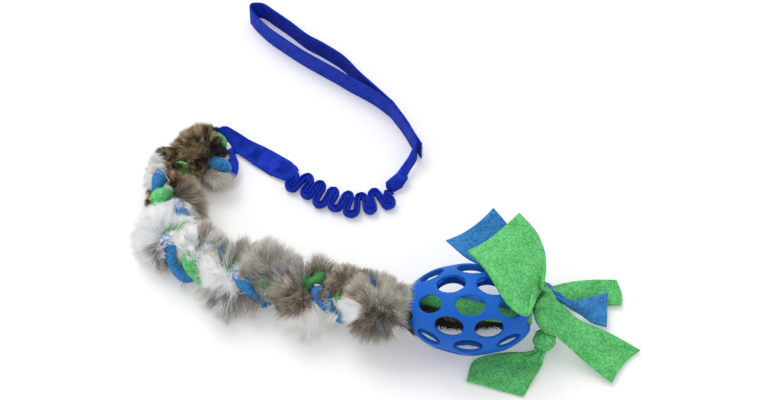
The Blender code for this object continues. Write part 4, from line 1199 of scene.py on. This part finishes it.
HAIRS = 120000
HAIR_WIDTH = 0.0004
HIDE_LOBES = 0.3
HIDE_TONE = 0.45
OUTER_REACH = ((0, 0.12, 0.18, 0.27, 0.33, 0.37), (0.038, 0.04, 0.048, 0.053, 0.048, 0.04))
INNER_REACH = ((0, 0.12, 0.18, 0.235, 0.3, 0.37), (0.038, 0.038, 0.045, 0.05, 0.036, 0.036))
SHORTEST_HAIR = 0.01
FUR_SHARES = {"fur": 0.6, "blue": 0.2, "green": 0.2}
FUR_NECK = BRAID_LENGTH - 0.034
FUR_CUTS = [
    -1, 0.024, 0.048, 0.096, BEND_START - 0.015, BEND_END + 0.015, BEND_END + 0.055, BEND_END + 0.085,
    BEND_END + 0.115, 1,
]
HAIR_LOW = 0.0006
FIRST_HEART = np.array([-0.177, 0.039, 0.019])


def fan_turn(s):
    """The phase of the fur strand at s, and that at the middle of the turn it makes there."""
    phase = braid_phase(s, ORDER["fur"])
    return phase, math.pi / 2 + math.pi * np.round((phase - math.pi / 2) / math.pi)


def hearts(s):
    """The place that the fur fans out from: one in the middle of the braid for each turn of its strand."""
    phase, turn = fan_turn(s)
    middle = np.clip(s + (turn - phase) * BRAID_PERIOD / (2 * math.pi), 0.03, BRAID_LENGTH - 0.012)
    side = BRAID_ROUTE.side(middle) * np.sign(np.sin(turn))[:, None]
    found = BRAID_ROUTE.at(middle) + side * BRAID_HALF_WIDTH * 0.3 + BRAID_ROUTE.up(middle) * -0.003
    early = smoothstep((0.055 - s) / 0.02)[:, None]
    return found * (1 - early) + FIRST_HEART * early


def fan_reach(s):
    """How far the tips of a fan lie from its heart, on the outer and the inner side of the braid's curve."""
    outer = np.sin(fan_turn(s)[1]) < 0
    return np.where(outer, np.interp(s, *OUTER_REACH), np.interp(s, *INNER_REACH))


def clear_of_ball(points, stand_off):
    """Moves points that lie inside the ball's outside to just over it."""
    apart = points - BALL_PLACE
    along = apart @ BALL_AXIS
    aside = apart - along[:, None] * BALL_AXIS
    radius = np.linalg.norm(aside, axis=1)
    shell = BALL_DIAMETER / 2 * np.sqrt(np.clip(1 - (along / (BALL_LENGTH / 2)) ** 2, 0, 1)) + stand_off
    inside = (np.abs(along) < MOUTH_AT) & (radius < shell)
    out = BALL_PLACE + along[:, None] * BALL_AXIS + unit(aside) * shell[:, None]
    return np.where(inside[:, None], out, points)


def grow(colour, count, low=-0.014, high=BRAID_LENGTH - 0.001):
    """Roots spread evenly over a strand, with their place along the braid, the way out and their heart."""
    s = random.uniform(low, high, count)
    along = np.maximum(s, 0)
    centre, radius = strand_at(colour, along, HIDE_LOBES)
    centre[s < 0, 0] = BIGHT_X - s[s < 0] * 0.5
    theta = random.uniform(0, 2 * np.pi, count)
    normal = BRAID_ROUTE.side(along) * np.cos(theta)[:, None] + BRAID_ROUTE.up(along) * np.sin(theta)[:, None]
    root = centre + normal * (radius * 0.96)[:, None]
    heart = hearts(along)
    if colour == "fur":
        return s, root, normal, heart
    far = np.linalg.norm(root - heart, axis=1)
    lying = (normal[:, 2] > -0.35) & (far < 0.044 * random.uniform(0.75, 1.0, count)) & ~over_bare(root)
    root = root + normal * (radius * 0.06)[:, None]
    return s[lying], root[lying], normal[lying], heart[lying]


def eye_tuft(count):
    """The hair that comes out from between the folds over the eye, towards the tab and down."""
    root = random.uniform((-0.186, 0.0175, 0.011), (-0.166, 0.0235, 0.018), (count, 3))
    angle = np.radians(random.uniform(-75, 2, count))
    way = unit(np.stack([np.cos(angle), np.sin(angle), np.full(count, 0.12)], axis=-1))
    return np.full(count, 0.005), root, way, root - way * 0.008


def grow_all(count):
    """The roots of all hairs in their order along the braid, with a mark on those of the fur strip itself."""
    grown = [grow(colour, int(count * share)) for colour, share in FUR_SHARES.items()]
    grown += [grow(colour, int(count * 0.03), low=FUR_NECK) for colour in FUR_SHARES]
    grown += [grow(colour, int(count * 0.02), low=0.004, high=0.05) for colour in FUR_SHARES]
    grown.append(eye_tuft(int(count * 0.03)))
    colours = [*FUR_SHARES, *FUR_SHARES, *FUR_SHARES, "fur"]
    own = np.concatenate([np.full(len(part[0]), colour == "fur") for part, colour in zip(grown, colours)])
    together = [np.concatenate(part) for part in zip(*grown)] + [own]
    order = np.argsort(together[0])
    return [values[order] for values in together]


def comb(s, root, normal, heart, own):
    """The waist and the tip of each hair, which fans out from its heart, and the hair that leads it."""
    count = len(s)
    spread = random.normal(0, 1, (count, 3))
    outward = root - heart
    apart = np.linalg.norm(outward, axis=1)
    neck = smoothstep((s - FUR_NECK) / 0.024)
    outward = unit(unit(outward) + BALL_AXIS * 0.5 * neck[:, None])
    rise = np.where(own, 0.55, 0.22)[:, None]
    loose = np.exp(-((apart / 0.013) ** 2))[:, None]
    first = unit(normal * rise + outward * 0.85 + spread * (0.2 + 0.35 * loose))
    second = unit(first * 0.45 + outward * 0.85 + spread[::-1] * 0.22 - UP * 0.2)
    reach = np.clip(fan_reach(np.maximum(s, 0)) - apart, SHORTEST_HAIR, None)
    length = reach * random.uniform(0.66, 1.12, count)
    length = length * (1 - 0.15 * neck) * (1 - 0.45 * smoothstep((0.004 - s) / 0.008))
    middle = root + first * (length * 0.5)[:, None]
    tip = middle + second * (length * 0.5)[:, None]
    middle, tip, _ = follow_leaders(root, middle, tip, 320, 0.25)
    return follow_leaders(root, middle, tip, 32, 0.65)


def lay_over(root, middle, tip):
    """Lays the hairs over fleece, ball and floor, and says which are buried and which went through fleece."""
    count = len(root)
    buried = np.zeros(count, bool)
    pierced = np.zeros(count, bool)
    for colour in ("blue", "green"):
        _, inside = lift_off(root, colour, np.full(count, -0.0005))
        lifted, low = lift_off(middle, colour, random.uniform(0.0004, 0.0025, count))
        pierced |= np.linalg.norm(lifted - middle, axis=1) > 0.003
        middle = lifted
        tip, _ = lift_off(tip, colour, random.uniform(0.0006, 0.0045, count))
        buried |= inside | low
    middle = clear_of_ball(middle, random.uniform(0.0005, 0.002, count))
    tip = clear_of_ball(tip, random.uniform(0.0005, 0.004, count))
    for points in (root, middle, tip):
        low = points[:, 2] < HAIR_LOW
        points[low, 2] = HAIR_LOW + random.uniform(0, 0.0035, low.sum())
    return middle, tip, buried, pierced


def leave_bare(root, middle, tip, own, buried, pierced):
    """Shortens the hairs that cross bare fleece, all but a few wisps, and says which hairs stay."""
    wisp = over_bare(root) | (random.random(len(root)) < 0.06)
    for _ in range(2):
        crossing = ~wisp & (over_bare(middle) | over_bare(tip))
        for points in (middle, tip):
            points[crossing] = root[crossing] + (points[crossing] - root[crossing]) * 0.62
    covers = over_bare(middle) | over_bare(tip)
    return ~buried & ~(covers & (pierced | ~(own | wisp)))


def dye(places, lead):
    """The column of the fur's map for each hair: its coat and its shade, much as those of its leader."""
    count = len(places)
    first, second, share = coats_at(places)
    mixed = random.random(count)[lead] * 0.75 + random.random(count) * 0.25 < share
    shade = np.clip((random.random(count)[lead] * 0.6 + random.random(count) * 0.4) * len(SHADES), 0, 3.99)
    return np.where(mixed, second, first) * len(SHADES) + shade.astype(int)


def braid_fur():
    """The rabbit fur: it fans out from its strand, lies over the strips beside it and droops at its tips."""
    count = HAIRS
    widen = 1
    s, root, normal, heart, own = grow_all(count)
    middle, tip, lead = comb(s, root, normal, heart, own)
    middle, tip, buried, pierced = lay_over(root, middle, tip)
    keep = leave_bare(root, middle, tip, own, buried, pierced)
    column = dye(middle * 0.5 + tip * 0.5, lead)
    width = HAIR_WIDTH * widen * random.uniform(0.6, 1.25, len(s))
    for number, (low, high) in enumerate(zip(FUR_CUTS, FUR_CUTS[1:])):
        here = keep & (s >= low) & (s < high)
        piece = hair_mesh(f"fur_{number + 1}", root[here], middle[here], tip[here], width[here], column[here])
        blend_between(piece, "rabbit_fur", *BEND)


FLOOR_REACH = 6
FLOOR_GLOW = 0.2
WORLD_LIGHT = 0.72
SUN_LIGHT = 1.05


def studio():
    """A white sweep, with soft light from above."""
    mesh = bpy.data.meshes.new("floor")
    corners = [(-FLOOR_REACH, -FLOOR_REACH), (FLOOR_REACH, -FLOOR_REACH), (FLOOR_REACH, FLOOR_REACH),
               (-FLOOR_REACH, FLOOR_REACH)]
    mesh.from_pydata([(x, y, 0) for x, y in corners], [], [(0, 1, 2, 3)])
    floor = new_object("floor", mesh)
    floor.location.z = -FLOOR_GAP
    paint = Paint("floor_white")
    seen = paint.add("LightPath").outputs
    watched = paint.maths("MAXIMUM", seen["Is Camera Ray"], seen["Is Glossy Ray"])
    watched = paint.maths("MAXIMUM", watched, seen["Is Transmission Ray"])
    mesh.materials.append(paint.finish(
        Base_Color=(0.9, 0.9, 0.9, 1), Roughness=0.9, Specular_IOR_Level=0.1, Emission_Color=(1, 1, 1, 1),
        Emission_Strength=paint.maths("MULTIPLY", watched, FLOOR_GLOW),
    ))
    world = bpy.data.worlds.new("studio")
    world.use_nodes = True
    backdrop = world.node_tree.nodes["Background"]
    backdrop.inputs["Color"].default_value = (1, 1, 1, 1)
    backdrop.inputs["Strength"].default_value = WORLD_LIGHT
    bpy.context.scene.world = world
    sun = bpy.data.lights.new("key", "SUN")
    sun.energy = SUN_LIGHT
    sun.angle = math.radians(35)
    new_object("key", sun).rotation_euler = (math.radians(-28), math.radians(-22), 0)
    bpy.context.scene.view_settings.view_transform = "Standard"


def camera():
    """The camera at the photograph's angle."""
    data = bpy.data.cameras.new("camera")
    data.sensor_width = 36
    data.lens = FOCAL_PIXELS * data.sensor_width / PHOTO_WIDTH
    view = new_object("camera", data)
    way = np.array([0, -math.cos(CAMERA_ELEVATION), math.sin(CAMERA_ELEVATION)])
    view.location = SHIFT + CAMERA_DISTANCE * way
    view.rotation_euler = (math.pi / 2 - CAMERA_ELEVATION, 0, 0)
    bpy.context.scene.camera = view


def finish_stitches():
    """The seams' thread stays as the frame has it, with its own finish."""
    for name in ("handle_base_stitch", "handle_neck_stitch", "tab_front_stitch", "tab_eye_stitch"):
        node = frame["nodes"][name]
        node.data.materials.clear()
        node.data.materials.append(THREAD)


camera()
studio()
flex, flex_way, raw_end = handle()
frayed_end(raw_end)
front = tab()
front[2] = SLEEVE_AXIS_HEIGHT
rear = np.array([0.0095, 0.0095, SLEEVE_AXIS_HEIGHT])
rear_way = unit([1, 1, 0])
sleeve(front, -TAB_WAY, rear, rear_way)
rear_flat(rear + rear_way * GAP, rear_way, flex + flex_way * FLEX_GAP, flex_way)
braid_strands()
ball_strips()
ball()
knots_and_tails()
braid_fur()
finish_stitches()
